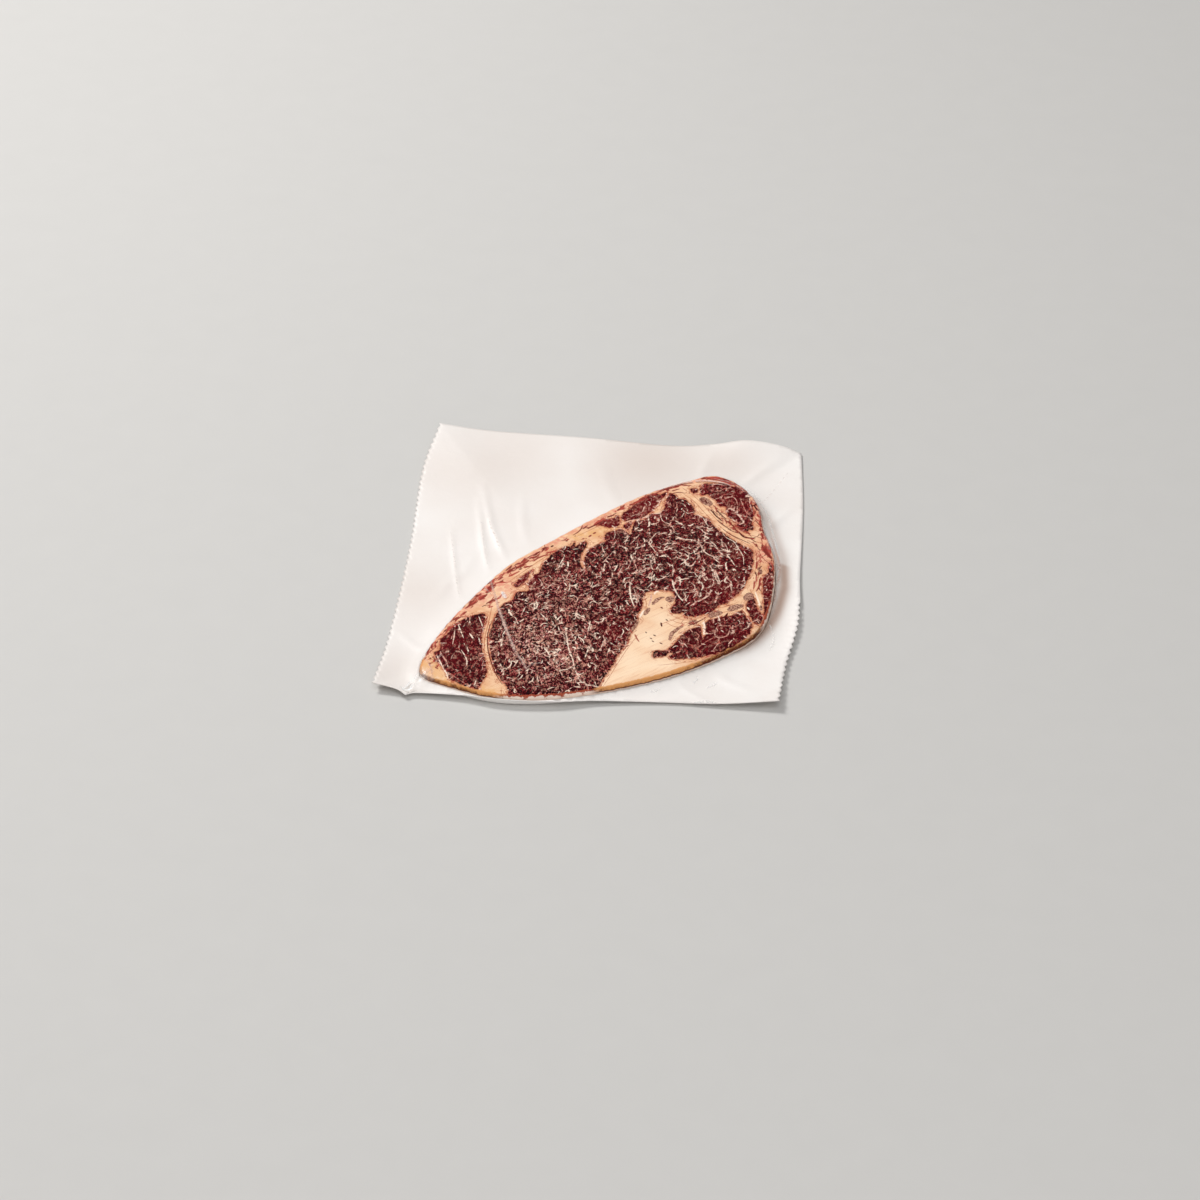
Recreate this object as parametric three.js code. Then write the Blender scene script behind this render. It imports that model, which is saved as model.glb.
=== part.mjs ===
// A raw ribeye steak sealed flat in a vacuum pouch. Millimetres, +Z up.
// The pouch is an opaque white web under the steak and a clear film over it. The web lies flat below
// the meat, climbs its side to a ridge and slopes back down to a wavy flange. The film lies on the
// meat, drops down its side to that ridge and follows the flange.

import * as THREE from 'three';

// Sheets and the gaps that keep the solids apart
const WEB_THICKNESS = 0.4;
const FILM_THICKNESS = 0.3;
const GAP = 0.3;
const STEAK_BOTTOM = WEB_THICKNESS + GAP;

// Steak: widest line of the side, from the pointed end along the near side and back
const STEAK_OUTLINE = [
  [-86.5, -117], [-83, -126], [-66, -133], [-47, -138.6], [-28, -139.2], [-6, -135.2],
  [22, -125.6], [50, -111.8], [75, -93.3], [94, -72], [100.2, -42], [99.5, -4],
  [92, 24], [87, 49], [75, 68], [60, 75.8], [45, 69], [20, 52],
  [-4, 28.5], [-27, 3], [-47, -20], [-60, -43], [-75, -75.5], [-84, -102],
];
const STEAK_CENTRE = [0, -40];
const NEAR_Y = -139;
const FAR_Y = 76;
const NEAR_TOP = 6.3;
const FAR_TOP = 10.3;
const CROWN = 0.7;
const TOP_ROUNDING = 2.0;
const BOTTOM_ROUNDING = 1.8;

// Muscles that stand up and fat that lies low: [x, y, radius, height]
const SWELLS = [
  [-12, -75, 42, 0.7],
  [48, -5, 38, 0.6],
  [-66, -105, 20, 0.4],
  [-50, -52, 14, -0.5],
  [34, -82, 17, -0.5],
];

// Pouch: places on its edge with their height above the surface that it lies on. Sharp places are
// its four corners and the tip of the bunched fold near the pointed end of the steak.
const POUCH_EDGE = [
  { at: [-110.5, -133], lift: 4.8, sharp: true },
  { at: [-97, -135.6], lift: 3.4 },
  { at: [-91.5, -139.3], lift: 2.4, sharp: true },
  { at: [-86, -136.8], lift: 2.4 },
  { at: [-62, -137.6], lift: 3.2 },
  { at: [-44, -140.4], lift: 4.3 },
  { at: [-26, -140.8], lift: 4.4 },
  { at: [-8, -139.0], lift: 3.8 },
  { at: [12, -134.6], lift: 2.4 },
  { at: [47, -131.2], lift: 1.2 },
  { at: [78, -130.8], lift: 2.2 },
  { at: [109.3, -129.4], lift: 5.4, sharp: true },
  { at: [111.5, -93], lift: 2.6 },
  { at: [116, -54], lift: 3.4 },
  { at: [114.2, -8], lift: 1.6 },
  { at: [112.6, 60], lift: 0.6 },
  { at: [108.8, 116.4], lift: 0.8, sharp: true },
  { at: [96, 119.2], lift: 4.0 },
  { at: [76, 120.4], lift: 5.6 },
  { at: [56, 119.4], lift: 2.2 },
  { at: [30, 118.4], lift: 0.3 },
  { at: [-20, 121.4], lift: 0.9 },
  { at: [-75, 121.4], lift: 2.2 },
  { at: [-107, 122], lift: 5.4, sharp: true },
  { at: [-111.6, 76], lift: 1.8 },
  { at: [-108.8, 0], lift: 0.4 },
  { at: [-108.6, -85], lift: 1.0 },
];

const FOLD_PLACE = 2;

// Where the web and film meet at the steak's side
const RIDGE_SHARE = 0.58;
const RIDGE_REACH = 7.5;
const FLANGE_STEPS = [2.5, 6, 12];
const FLANGE_SHARES = [0.2, 0.4, 0.6];
const OUTER_FLANGE_STEPS = 3;

// How finely the shapes are cut
const SAMPLES = 72;
const CURVE_STEPS = 10;
const ROUND_OFF = 1e-9;
const TOP_RINGS = [0.22, 0.45, 0.66, 0.83, 0.94];
const WEB_RINGS = [0.5, 1];

/** Points along an open or closed smooth curve through the given places. */
function curvePoints(places, closed) {
  const vectors = places.map((place) => new THREE.Vector3(...place));
  const curve = new THREE.CatmullRomCurve3(vectors, closed, 'catmullrom');
  const points = curve.getPoints(CURVE_STEPS * places.length);
  return points.slice(0, -1).map((point) => point.toArray());
}

/** Points round the pouch's edge, each [x, y, lift]. */
function pouchPoints() {
  const starts = POUCH_EDGE.map((place, i) => (place.sharp ? i : -1)).filter((i) => i >= 0);
  const places = [...POUCH_EDGE, POUCH_EDGE[0]].map((place) => [...place.at, place.lift]);
  const ends = [...starts.slice(1), places.length - 1];
  return starts.flatMap((start, i) => curvePoints(places.slice(start, ends[i] + 1), false));
}

/** Angle of a point about the steak's centre, from 0 to a full turn. */
function angleOf(point) {
  const angle = Math.atan2(point[1] - STEAK_CENTRE[1], point[0] - STEAK_CENTRE[0]);
  return angle < 0 ? angle + 2 * Math.PI : angle;
}

/** Where a ray from the steak's centre meets a closed curve. */
function meet(curve, angle) {
  const direction = [Math.cos(angle), Math.sin(angle)];
  for (let i = 0; i < curve.length; i += 1) {
    const a = curve[i];
    const b = curve[(i + 1) % curve.length];
    const from = [a[0] - STEAK_CENTRE[0], a[1] - STEAK_CENTRE[1]];
    const edge = [b[0] - a[0], b[1] - a[1]];
    const cross = direction[0] * edge[1] - direction[1] * edge[0];
    const along = (direction[1] * from[0] - direction[0] * from[1]) / cross;
    const out = (from[0] * edge[1] - from[1] * edge[0]) / cross;
    if (out > 0 && along > -ROUND_OFF && along < 1 + ROUND_OFF) {
      return a.map((value, axis) => value + (b[axis] - value) * along);
    }
  }
  throw new Error('the curve does not go round the centre');
}

/** Angles spread evenly along the steak's side, with one through each sharp place of the pouch. */
function sampleAngles(steakCurve) {
  const lengths = [0];
  steakCurve.forEach((point, i) => {
    const next = steakCurve[(i + 1) % steakCurve.length];
    lengths.push(lengths[i] + Math.hypot(next[0] - point[0], next[1] - point[1]));
  });
  const total = lengths[lengths.length - 1];
  const angles = [];
  for (let i = 0; i < SAMPLES; i += 1) {
    const index = lengths.findIndex((length) => length > (total * i) / SAMPLES) - 1;
    angles.push(angleOf(steakCurve[index]));
  }
  angles.sort((a, b) => a - b);
  for (const place of POUCH_EDGE.filter((entry) => entry.sharp)) {
    const wanted = angleOf(place.at);
    const distances = angles.map((angle) => Math.abs(angle - wanted));
    angles[distances.indexOf(Math.min(...distances))] = wanted;
  }
  return angles;
}

/** Height of the steak's top above the surface that the pouch lies on. */
function topHeight(x, y, share) {
  const far = Math.min(1, Math.max(0, (y - NEAR_Y) / (FAR_Y - NEAR_Y)));
  let height = FAR_TOP - (FAR_TOP - NEAR_TOP) * (1 - far) ** 2 + CROWN * (1 - share ** 2);
  for (const [swellX, swellY, radius, rise] of SWELLS) {
    const distance = Math.hypot(x - swellX, y - swellY) / radius;
    height += rise * Math.exp(-(distance ** 2)) * (1 - share ** 4);
  }
  return height;
}

/** One place on the steak's side with everything that the rings need there. */
function makeStations() {
  const steakCurve = curvePoints(STEAK_OUTLINE.map((place) => [...place, 0]), true);
  const pouchCurve = pouchPoints();
  const fold = angleOf(POUCH_EDGE[FOLD_PLACE].at);
  const angles = sampleAngles(steakCurve);
  const sides = angles.map((angle) => meet(steakCurve, angle));
  return angles.map((angle, i) => {
    const before = sides[(i + SAMPLES - 1) % SAMPLES];
    const after = sides[(i + 1) % SAMPLES];
    const length = Math.hypot(after[0] - before[0], after[1] - before[1]);
    const top = topHeight(sides[i][0], sides[i][1], 1);
    return {
      side: sides[i],
      outward: [(after[1] - before[1]) / length, (before[0] - after[0]) / length],
      edge: meet(pouchCurve, angle),
      top,
      ridge: top * RIDGE_SHARE,
      folded: angle === fold,
    };
  });
}

/** Point at a share of the way from the steak's centre to its side, less an inset. */
function innerPoint(station, share, inset, z) {
  const x = station.side[0] - station.outward[0] * inset;
  const y = station.side[1] - station.outward[1] * inset;
  return [
    STEAK_CENTRE[0] + (x - STEAK_CENTRE[0]) * share,
    STEAK_CENTRE[1] + (y - STEAK_CENTRE[1]) * share,
    z,
  ];
}

/** Ring over the steak's top, raised by a distance. */
function topRing(stations, share, raise) {
  return stations.map((station) => {
    const point = innerPoint(station, share, TOP_ROUNDING, 0);
    return [point[0], point[1], topHeight(point[0], point[1], share) + raise];
  });
}

/** Ring that stands a distance outside the steak's side, at a height worked out by a function. */
function sideRing(stations, out, heightAt) {
  return stations.map((station) => innerPoint(station, 1, -out, heightAt(station)));
}

/** Distances of the flange's rings from the ridge, for a flange of the given width. */
function flangeDistances(width) {
  const near = FLANGE_STEPS.map((step, i) => Math.min(step, FLANGE_SHARES[i] * width));
  const last = near[near.length - 1];
  const far = [];
  for (let i = 1; i <= OUTER_FLANGE_STEPS; i += 1) {
    far.push(last + ((width - last) * i) / OUTER_FLANGE_STEPS);
  }
  return [...near, ...far];
}

/** Rings of the flange from the ridge to the pouch's edge, raised above the web's upper face. */
function flangeRings(stations, raise, tented) {
  const count = FLANGE_STEPS.length + OUTER_FLANGE_STEPS;
  const rings = Array.from({ length: count }, () => []);
  for (const station of stations) {
    const crest = innerPoint(station, 1, -2 * GAP, 0);
    const run = [station.edge[0] - crest[0], station.edge[1] - crest[1]];
    const width = Math.hypot(run[0], run[1]);
    flangeDistances(width).forEach((distance, i) => {
      const share = distance / width;
      const weight = Math.exp(-((distance / RIDGE_REACH) ** 1.2)) * (1 - share ** 2);
      const flat = WEB_THICKNESS + station.edge[2] * share ** 2;
      const draped = flat * (1 - weight) + station.ridge * weight;
      const taut = station.top + (WEB_THICKNESS + station.edge[2] - station.top) * share;
      const height = tented && station.folded ? Math.max(draped, taut) : draped;
      rings[i].push([crest[0] + run[0] * share, crest[1] + run[1] * share, height + raise]);
    });
  }
  return rings;
}

/** Closed body from a top centre, rings and a bottom centre. Rings from `turn` on run back inward. */
function closedBody(topCentre, rings, bottomCentre, turn) {
  const positions = [...topCentre, ...rings.flat(2), ...bottomCentre];
  const indices = [];
  const at = (ring, i) => 1 + ring * SAMPLES + (i % SAMPLES);
  const last = 1 + rings.length * SAMPLES;
  for (let i = 0; i < SAMPLES; i += 1) {
    indices.push(0, at(0, i), at(0, i + 1));
    indices.push(last, at(rings.length - 1, i + 1), at(rings.length - 1, i));
    for (let ring = 0; ring + 1 < rings.length; ring += 1) {
      const [a, b] = [at(ring, i), at(ring, i + 1)];
      const [c, d] = [at(ring + 1, i), at(ring + 1, i + 1)];
      if (ring < turn) {
        indices.push(a, c, d, a, d, b);
      } else {
        indices.push(a, c, b, b, c, d);
      }
    }
  }
  const geometry = new THREE.BufferGeometry();
  geometry.setAttribute('position', new THREE.Float32BufferAttribute(positions, 3));
  geometry.setIndex(indices);
  geometry.computeVertexNormals();
  return geometry;
}

function centreAt(z) {
  return [STEAK_CENTRE[0], STEAK_CENTRE[1], z];
}

const CENTRE_TOP = topHeight(STEAK_CENTRE[0], STEAK_CENTRE[1], 0);

/** The meat and its fat, one body with a rounded side. */
function makeSteak(stations) {
  const rings = [
    ...TOP_RINGS.map((share) => topRing(stations, share, 0)),
    topRing(stations, 1, 0),
    sideRing(stations, -0.3 * TOP_ROUNDING, (station) => station.top - 0.3 * TOP_ROUNDING),
    sideRing(stations, 0, (station) => station.top - TOP_ROUNDING),
    sideRing(stations, 0, () => STEAK_BOTTOM + BOTTOM_ROUNDING),
    sideRing(stations, -0.3 * BOTTOM_ROUNDING, () => STEAK_BOTTOM + 0.3 * BOTTOM_ROUNDING),
    sideRing(stations, -BOTTOM_ROUNDING, () => STEAK_BOTTOM),
  ];
  return closedBody(centreAt(CENTRE_TOP), rings, centreAt(STEAK_BOTTOM), TOP_RINGS.length + 2);
}

/** The opaque lower sheet: flat below the meat, up its side to the ridge, out over the flange. */
function makeWeb(stations) {
  const face = (down) => [
    ...WEB_RINGS.map((share) => stations.map(
      (station) => innerPoint(station, share, BOTTOM_ROUNDING, WEB_THICKNESS - down),
    )),
    sideRing(stations, -0.3 * BOTTOM_ROUNDING + 0.7 * (GAP + down), () => (
      STEAK_BOTTOM + 0.3 * BOTTOM_ROUNDING - 0.7 * (GAP + down)
    )),
    sideRing(stations, GAP + down, () => STEAK_BOTTOM + BOTTOM_ROUNDING - 0.4 * down),
    sideRing(stations, GAP + down, (station) => station.ridge - 1.5 * down),
  ];
  const rings = [
    ...face(0),
    ...flangeRings(stations, 0, false),
    ...flangeRings(stations, -WEB_THICKNESS, false).reverse(),
    ...face(WEB_THICKNESS).reverse(),
  ];
  return closedBody(centreAt(WEB_THICKNESS), rings, centreAt(0), rings.length / 2 - 1);
}

/** The clear upper sheet: over the meat, down its side to the ridge, out over the flange. */
function makeFilm(stations) {
  const face = (raise) => [
    ...TOP_RINGS.map((share) => topRing(stations, share, raise)),
    topRing(stations, 1, raise),
    sideRing(stations, -0.3 * TOP_ROUNDING + 0.7 * raise, (station) => (
      station.top - 0.3 * TOP_ROUNDING + 0.7 * raise
    )),
    sideRing(stations, raise, (station) => station.top - TOP_ROUNDING + 0.2 * raise),
    sideRing(stations, raise, (station) => (
      station.folded ? station.top - TOP_ROUNDING : station.ridge + GAP + 0.8 * raise
    )),
  ];
  const outside = GAP + FILM_THICKNESS;
  const rings = [
    ...face(outside),
    ...flangeRings(stations, outside, true),
    ...flangeRings(stations, GAP, true).reverse(),
    ...face(GAP).reverse(),
  ];
  const top = CENTRE_TOP + outside;
  return closedBody(centreAt(top), rings, centreAt(CENTRE_TOP + GAP), rings.length / 2 - 1);
}

/** Mesh with its own finish. */
function makeMesh(name, geometry, finish) {
  const mesh = new THREE.Mesh(geometry, new THREE.MeshStandardMaterial(finish));
  mesh.name = name;
  return mesh;
}

/** The sealed pouch, with the middle of its footprint at the origin. */
function makePack() {
  const stations = makeStations();
  const steak = makeMesh('steak', makeSteak(stations), {
    color: 0x5a2226, roughness: 0.45, metalness: 0,
  });
  const web = makeMesh('white_web', makeWeb(stations), {
    color: 0xe9e2dc, roughness: 0.4, metalness: 0,
  });
  const film = makeMesh('clear_film', makeFilm(stations), {
    color: 0xe8eaee, roughness: 0.08, metalness: 0, transparent: true, opacity: 0.25,
  });
  const pack = new THREE.Group();
  pack.name = 'ribeye_pack';
  pack.add(steak, web, film);
  const box = new THREE.Box3().setFromObject(pack);
  const middle = box.getCenter(new THREE.Vector3());
  for (const mesh of pack.children) {
    mesh.position.set(-middle.x, -middle.y, -box.min.z);
  }
  return pack;
}

export default makePack();
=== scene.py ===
"""A raw ribeye steak sealed in a vacuum pouch, dressed for close looks.

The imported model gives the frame. Its three plain solids are replaced here: the steak by meat with
muscles, seams, fat and marbling, the lower sheet by a white web with creases and pinked edges, and
the upper sheet by a clear film that is tight on the meat. Shapes are drawn in millimetres on the
drawing that the solids were drawn on, and put into the part's frame when a mesh is written.
"""

from __future__ import annotations

import logging
import math
import random
from dataclasses import dataclass, field
from enum import Enum

import bpy
import numpy as np
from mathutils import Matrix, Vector
from mathutils.geometry import delaunay_2d_cdt


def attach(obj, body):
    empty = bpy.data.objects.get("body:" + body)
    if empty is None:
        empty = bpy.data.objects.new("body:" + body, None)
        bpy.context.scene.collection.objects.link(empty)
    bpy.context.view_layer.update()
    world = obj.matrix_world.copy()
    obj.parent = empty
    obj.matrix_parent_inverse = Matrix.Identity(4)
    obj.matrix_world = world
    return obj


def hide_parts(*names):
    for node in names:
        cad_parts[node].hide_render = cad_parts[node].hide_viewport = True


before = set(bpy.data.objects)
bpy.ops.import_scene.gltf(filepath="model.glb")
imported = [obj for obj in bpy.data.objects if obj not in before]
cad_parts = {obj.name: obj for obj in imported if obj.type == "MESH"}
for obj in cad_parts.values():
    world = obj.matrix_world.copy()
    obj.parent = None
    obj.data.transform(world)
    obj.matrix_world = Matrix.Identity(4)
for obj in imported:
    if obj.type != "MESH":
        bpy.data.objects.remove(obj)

LOG = logging.getLogger("ribeye")
MM = 0.001
DRAWN_MIDDLE = (2.237, -9.438)
BATCH = 4000  # points that are measured at once
FLOOR_REACH = 6.0  # depth in millimetres that is measured where a flat floor is filled

Places = tuple[tuple[float, ...], ...]


class Slot(Enum):
    """Names of three material slots."""

    MEAT = "raw_meat"
    WEB = "white_web"
    FILM = "clear_film"


# ---------------------------------------------------------------------------------------------
# Curves and fields on the drawing


def smooth_curve(places: Places, closed: bool, steps: int) -> np.ndarray:
    """Draws a uniform Catmull-Rom curve through places.

    Args:
        places: Points to pass through, of any number of coordinates.
        closed: Whether the curve returns to its start.
        steps: Points on each stretch between two places.

    Returns:
        The curve's points, one row each. An open curve keeps its last place.
    """
    p = np.array(places, float)
    if closed:
        p = np.vstack([p[-1], p, p[:2]])
    else:
        p = np.vstack([2 * p[0] - p[1], p, 2 * p[-1] - p[-2]])
    t = (np.arange(steps) / steps)[None, :, None]
    a, b, c, d = (p[i : len(p) - 3 + i][:, None, :] for i in range(4))
    curve = 0.5 * (
        2 * b + (c - a) * t + (2 * a - 5 * b + 4 * c - d) * t**2 + (3 * b - a - 3 * c + d) * t**3
    )
    curve = curve.reshape(-1, p.shape[1])
    return curve if closed else np.vstack([curve, p[-2]])


def evenly(points: np.ndarray, count: int, closed: bool) -> np.ndarray:
    """Spreads points evenly along a line.

    Args:
        points: The line's points.
        count: Number of points wanted.
        closed: Whether the line returns to its start, which isn't repeated.

    Returns:
        The evenly spread points.
    """
    line = np.vstack([points, points[:1]]) if closed else points
    run = np.concatenate([[0], np.cumsum(np.hypot(*np.diff(line[:, :2], axis=0).T))])
    wanted = np.linspace(0, run[-1], count, endpoint=not closed)
    return np.stack([np.interp(wanted, run, line[:, k]) for k in range(line.shape[1])], 1)


def distance_to_line(at: np.ndarray, line: np.ndarray) -> tuple[np.ndarray, np.ndarray]:
    """Measures how far points lie from a line of straight stretches.

    Args:
        at: Points on the drawing, one row each.
        line: The line's points.

    Returns:
        Each point's distance, positive to the left of the line and negative to its right, and
        the place along the line from 0 to 1 where it is nearest.
    """
    a, b = line[:-1], line[1:]
    edge = b - a
    square = np.maximum((edge**2).sum(1), 1e-12)
    run = np.concatenate([[0], np.cumsum(np.sqrt(square))])
    far, place = np.empty(len(at)), np.empty(len(at))
    for start in range(0, len(at), BATCH):
        rows = slice(start, start + BATCH)
        offset = at[rows, None, :] - a[None]
        t = np.clip((offset * edge).sum(2) / square, 0, 1)
        gap = offset - t[..., None] * edge
        squares = (gap**2).sum(2)
        best = squares.argmin(1)
        each = np.arange(len(best))
        left = edge[best, 0] * gap[each, best, 1] - edge[best, 1] * gap[each, best, 0]
        far[rows] = np.copysign(np.sqrt(squares[each, best]), left)
        place[rows] = (run[best] + t[each, best] * np.sqrt(square[best])) / run[-1]
    return far, place


def inside(at: np.ndarray, loop: np.ndarray) -> np.ndarray:
    """Tells which points lie inside a closed loop, by counting the crossings of a ray.

    Args:
        at: Points on the drawing.
        loop: The closed loop.

    Returns:
        Whether each point lies inside.
    """
    a, b = loop, np.roll(loop, -1, axis=0)
    odd = np.zeros(len(at), bool)
    for (ax, ay), (bx, by) in zip(a, b):
        crosses = (ay > at[:, 1]) != (by > at[:, 1])
        if crosses.any():
            x = ax + (at[crosses, 1] - ay) * (bx - ax) / (by - ay)
            odd[crosses] ^= at[crosses, 0] < x
    return odd


def depth_in(at: np.ndarray, loop: np.ndarray, reach: float) -> np.ndarray:
    """Measures how deep points lie inside a closed loop.

    Args:
        at: Points on the drawing.
        loop: The closed loop.
        reach: Depth beyond which nothing is measured.

    Returns:
        Depth in millimetres, negative outside, held between -reach and reach.
    """
    depth = np.full(len(at), -reach)
    low, high = loop.min(0) - reach, loop.max(0) + reach
    near = np.nonzero(((at > low) & (at < high)).all(1))[0]
    far, _ = distance_to_line(at[near], np.vstack([loop, loop[:1]]))
    depth[near] = np.where(inside(at[near], loop), np.abs(far), -np.abs(far))
    return np.clip(depth, -reach, reach)


def ease(value: np.ndarray, low: float, high: float) -> np.ndarray:
    """Rises smoothly from 0 at low to 1 at high."""
    t = np.clip((value - low) / (high - low), 0, 1)
    return t * t * (3 - 2 * t)


# ---------------------------------------------------------------------------------------------
# The drawing that the solids and these pieces share


@dataclass(frozen=True)
class SteakShape:
    """The steak's outline and thickness, as in the solids.

    Attributes:
        outline: Widest line of the side.
        centre: Point that the shares of the way to the side are counted from.
        near_y: Where the top is lowest.
        far_y: Where it is highest.
        near_top: Its height there at the near end.
        far_top: Its height at the far end.
        crown: How much higher the middle is than the side.
        top_rounding: Radius between top and side.
        bottom_rounding: Radius between side and underside.
        bottom: Height of the underside.
        steps: Points of the side's curve on each stretch of the outline.
        swells: Muscles that stand up and fat that lies low, as x, y, radius and height.
    """

    outline: Places = (
        (-86.5, -117), (-83, -126), (-66, -133), (-47, -138.6), (-28, -139.2), (-6, -135.2),
        (22, -125.6), (50, -111.8), (75, -93.3), (94, -72), (100.2, -42), (99.5, -4),
        (92, 24), (87, 49), (75, 68), (60, 75.8), (45, 69), (20, 52),
        (-4, 28.5), (-27, 3), (-47, -20), (-60, -43), (-75, -75.5), (-84, -102),
    )  # fmt: skip
    centre: tuple[float, float] = (0.0, -40.0)
    near_y: float = -139.0
    far_y: float = 76.0
    near_top: float = 6.3
    far_top: float = 10.3
    crown: float = 0.7
    top_rounding: float = 2.0
    bottom_rounding: float = 1.8
    bottom: float = 0.7
    steps: int = 40
    swells: Places = (
        (-12, -75, 42, 0.7),
        (48, -5, 38, 0.6),
        (-66, -105, 20, 0.4),
        (-50, -52, 14, -0.5),
        (34, -82, 17, -0.5),
    )

    def side(self, count: int) -> tuple[np.ndarray, np.ndarray]:
        """Spreads points round the side.

        Args:
            count: Number of points.

        Returns:
            The points, and the outward direction at each.
        """
        points = evenly(smooth_curve(self.outline, True, self.steps), count, True)
        along = np.roll(points, -1, axis=0) - np.roll(points, 1, axis=0)
        along /= np.hypot(*along.T)[:, None]
        return points, np.stack([along[:, 1], -along[:, 0]], 1)

    def share(self, at: np.ndarray) -> np.ndarray:
        """Tells how far out points lie.

        Args:
            at: Points on the drawing.

        Returns:
            The share of the way from the centre to the side.
        """
        curve = smooth_curve(self.outline, True, self.steps) - self.centre
        angle, radius = np.arctan2(curve[:, 1], curve[:, 0]), np.hypot(*curve.T)
        order = np.argsort(angle)
        away = at - self.centre
        reach = np.interp(
            np.arctan2(away[:, 1], away[:, 0]), angle[order], radius[order], period=2 * math.pi
        )
        return np.clip(np.hypot(*away.T) / reach, 0, 1)

    def top(self, at: np.ndarray, share: np.ndarray | None = None) -> np.ndarray:
        """Height of the plain top.

        Args:
            at: Points on the drawing.
            share: How far out they lie, where that is known.

        Returns:
            The height at each point.
        """
        share = self.share(at) if share is None else share
        far = np.clip((at[:, 1] - self.near_y) / (self.far_y - self.near_y), 0, 1)
        height = self.far_top - (self.far_top - self.near_top) * (1 - far) ** 2
        height = height + self.crown * (1 - share**2)
        for x, y, radius, rise in self.swells:
            square = ((at[:, 0] - x) ** 2 + (at[:, 1] - y) ** 2) / radius**2
            height = height + rise * np.exp(-square) * (1 - share**4)
        return height


@dataclass(frozen=True)
class PouchShape:
    """The pouch's edge, with its height above the surface that the pouch lies on.

    Attributes:
        stretches: Smooth stretches from one sharp place to the next, each point x, y and height.
        pinked: How much of each stretch, from its start, has a pinked, toothed cut.
        fold_tip: Corner where the bunched film ends.
        tooth_pitch: Distance between teeth.
        tooth_depth: Depth of the notches between them.
        plain_step: Distance between points where the cut is plain.
        steps: Points of the curve between two places of a stretch.
    """

    stretches: tuple[Places, ...] = (
        ((-110.5, -133, 4.8), (-97, -135.6, 3.4), (-91.5, -139.3, 2.4)),
        (
            (-91.5, -139.3, 2.4), (-86, -136.8, 2.4), (-62, -137.6, 3.2), (-44, -140.4, 4.3),
            (-26, -140.8, 4.4), (-8, -139.0, 3.8), (12, -134.6, 2.4), (47, -131.2, 1.2),
            (78, -130.8, 2.2), (109.3, -129.4, 5.4),
        ),
        (
            (109.3, -129.4, 5.4), (111.5, -93, 2.6), (116, -54, 3.4), (114.2, -8, 1.6),
            (112.6, 60, 0.6), (108.8, 116.4, 0.8),
        ),
        (
            (108.8, 116.4, 0.8), (96, 119.2, 4.0), (76, 120.4, 5.6), (56, 119.4, 2.2),
            (30, 118.4, 0.3), (-20, 121.4, 0.9), (-75, 121.4, 2.2), (-107, 122, 5.4),
        ),
        (
            (-107, 122, 5.4), (-111.6, 76, 1.8), (-108.8, 0, 0.4), (-108.6, -85, 1.0),
            (-110.5, -133, 4.8),
        ),
    )  # fmt: skip
    pinked: tuple[float, ...] = (0, 0, 0.38, 0, 1)
    fold_tip: tuple[float, float] = (-91.5, -139.3)
    tooth_pitch: float = 5.2
    tooth_depth: float = 1.3
    plain_step: float = 1.5
    steps: int = 30

    def edge(self) -> np.ndarray:
        """Draws the cut edge, teeth and all.

        Returns:
            Its points, as rows of x, y and height.
        """
        parts = []
        for places, pinked in zip(self.stretches, self.pinked):
            curve = smooth_curve(places, False, self.steps)
            length = np.hypot(*np.diff(curve[:, :2], axis=0).T).sum()
            step = self.tooth_pitch / 4 if pinked else self.plain_step
            count = 4 * round(length / step / 4)
            points = evenly(curve, count + 1, False)
            if pinked:
                along = np.gradient(points[:, :2], axis=0)
                along /= np.hypot(*along.T)[:, None]
                inward = np.stack([-along[:, 1], along[:, 0]], 1)
                notch = 0.5 - 0.5 * np.cos(np.arange(count + 1) * math.pi / 2)
                notch[np.arange(count + 1) > pinked * count] = 0
                points[:, :2] += inward * (notch * self.tooth_depth)[:, None]
            parts.append(points[:-1])
        return np.vstack(parts)


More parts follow.
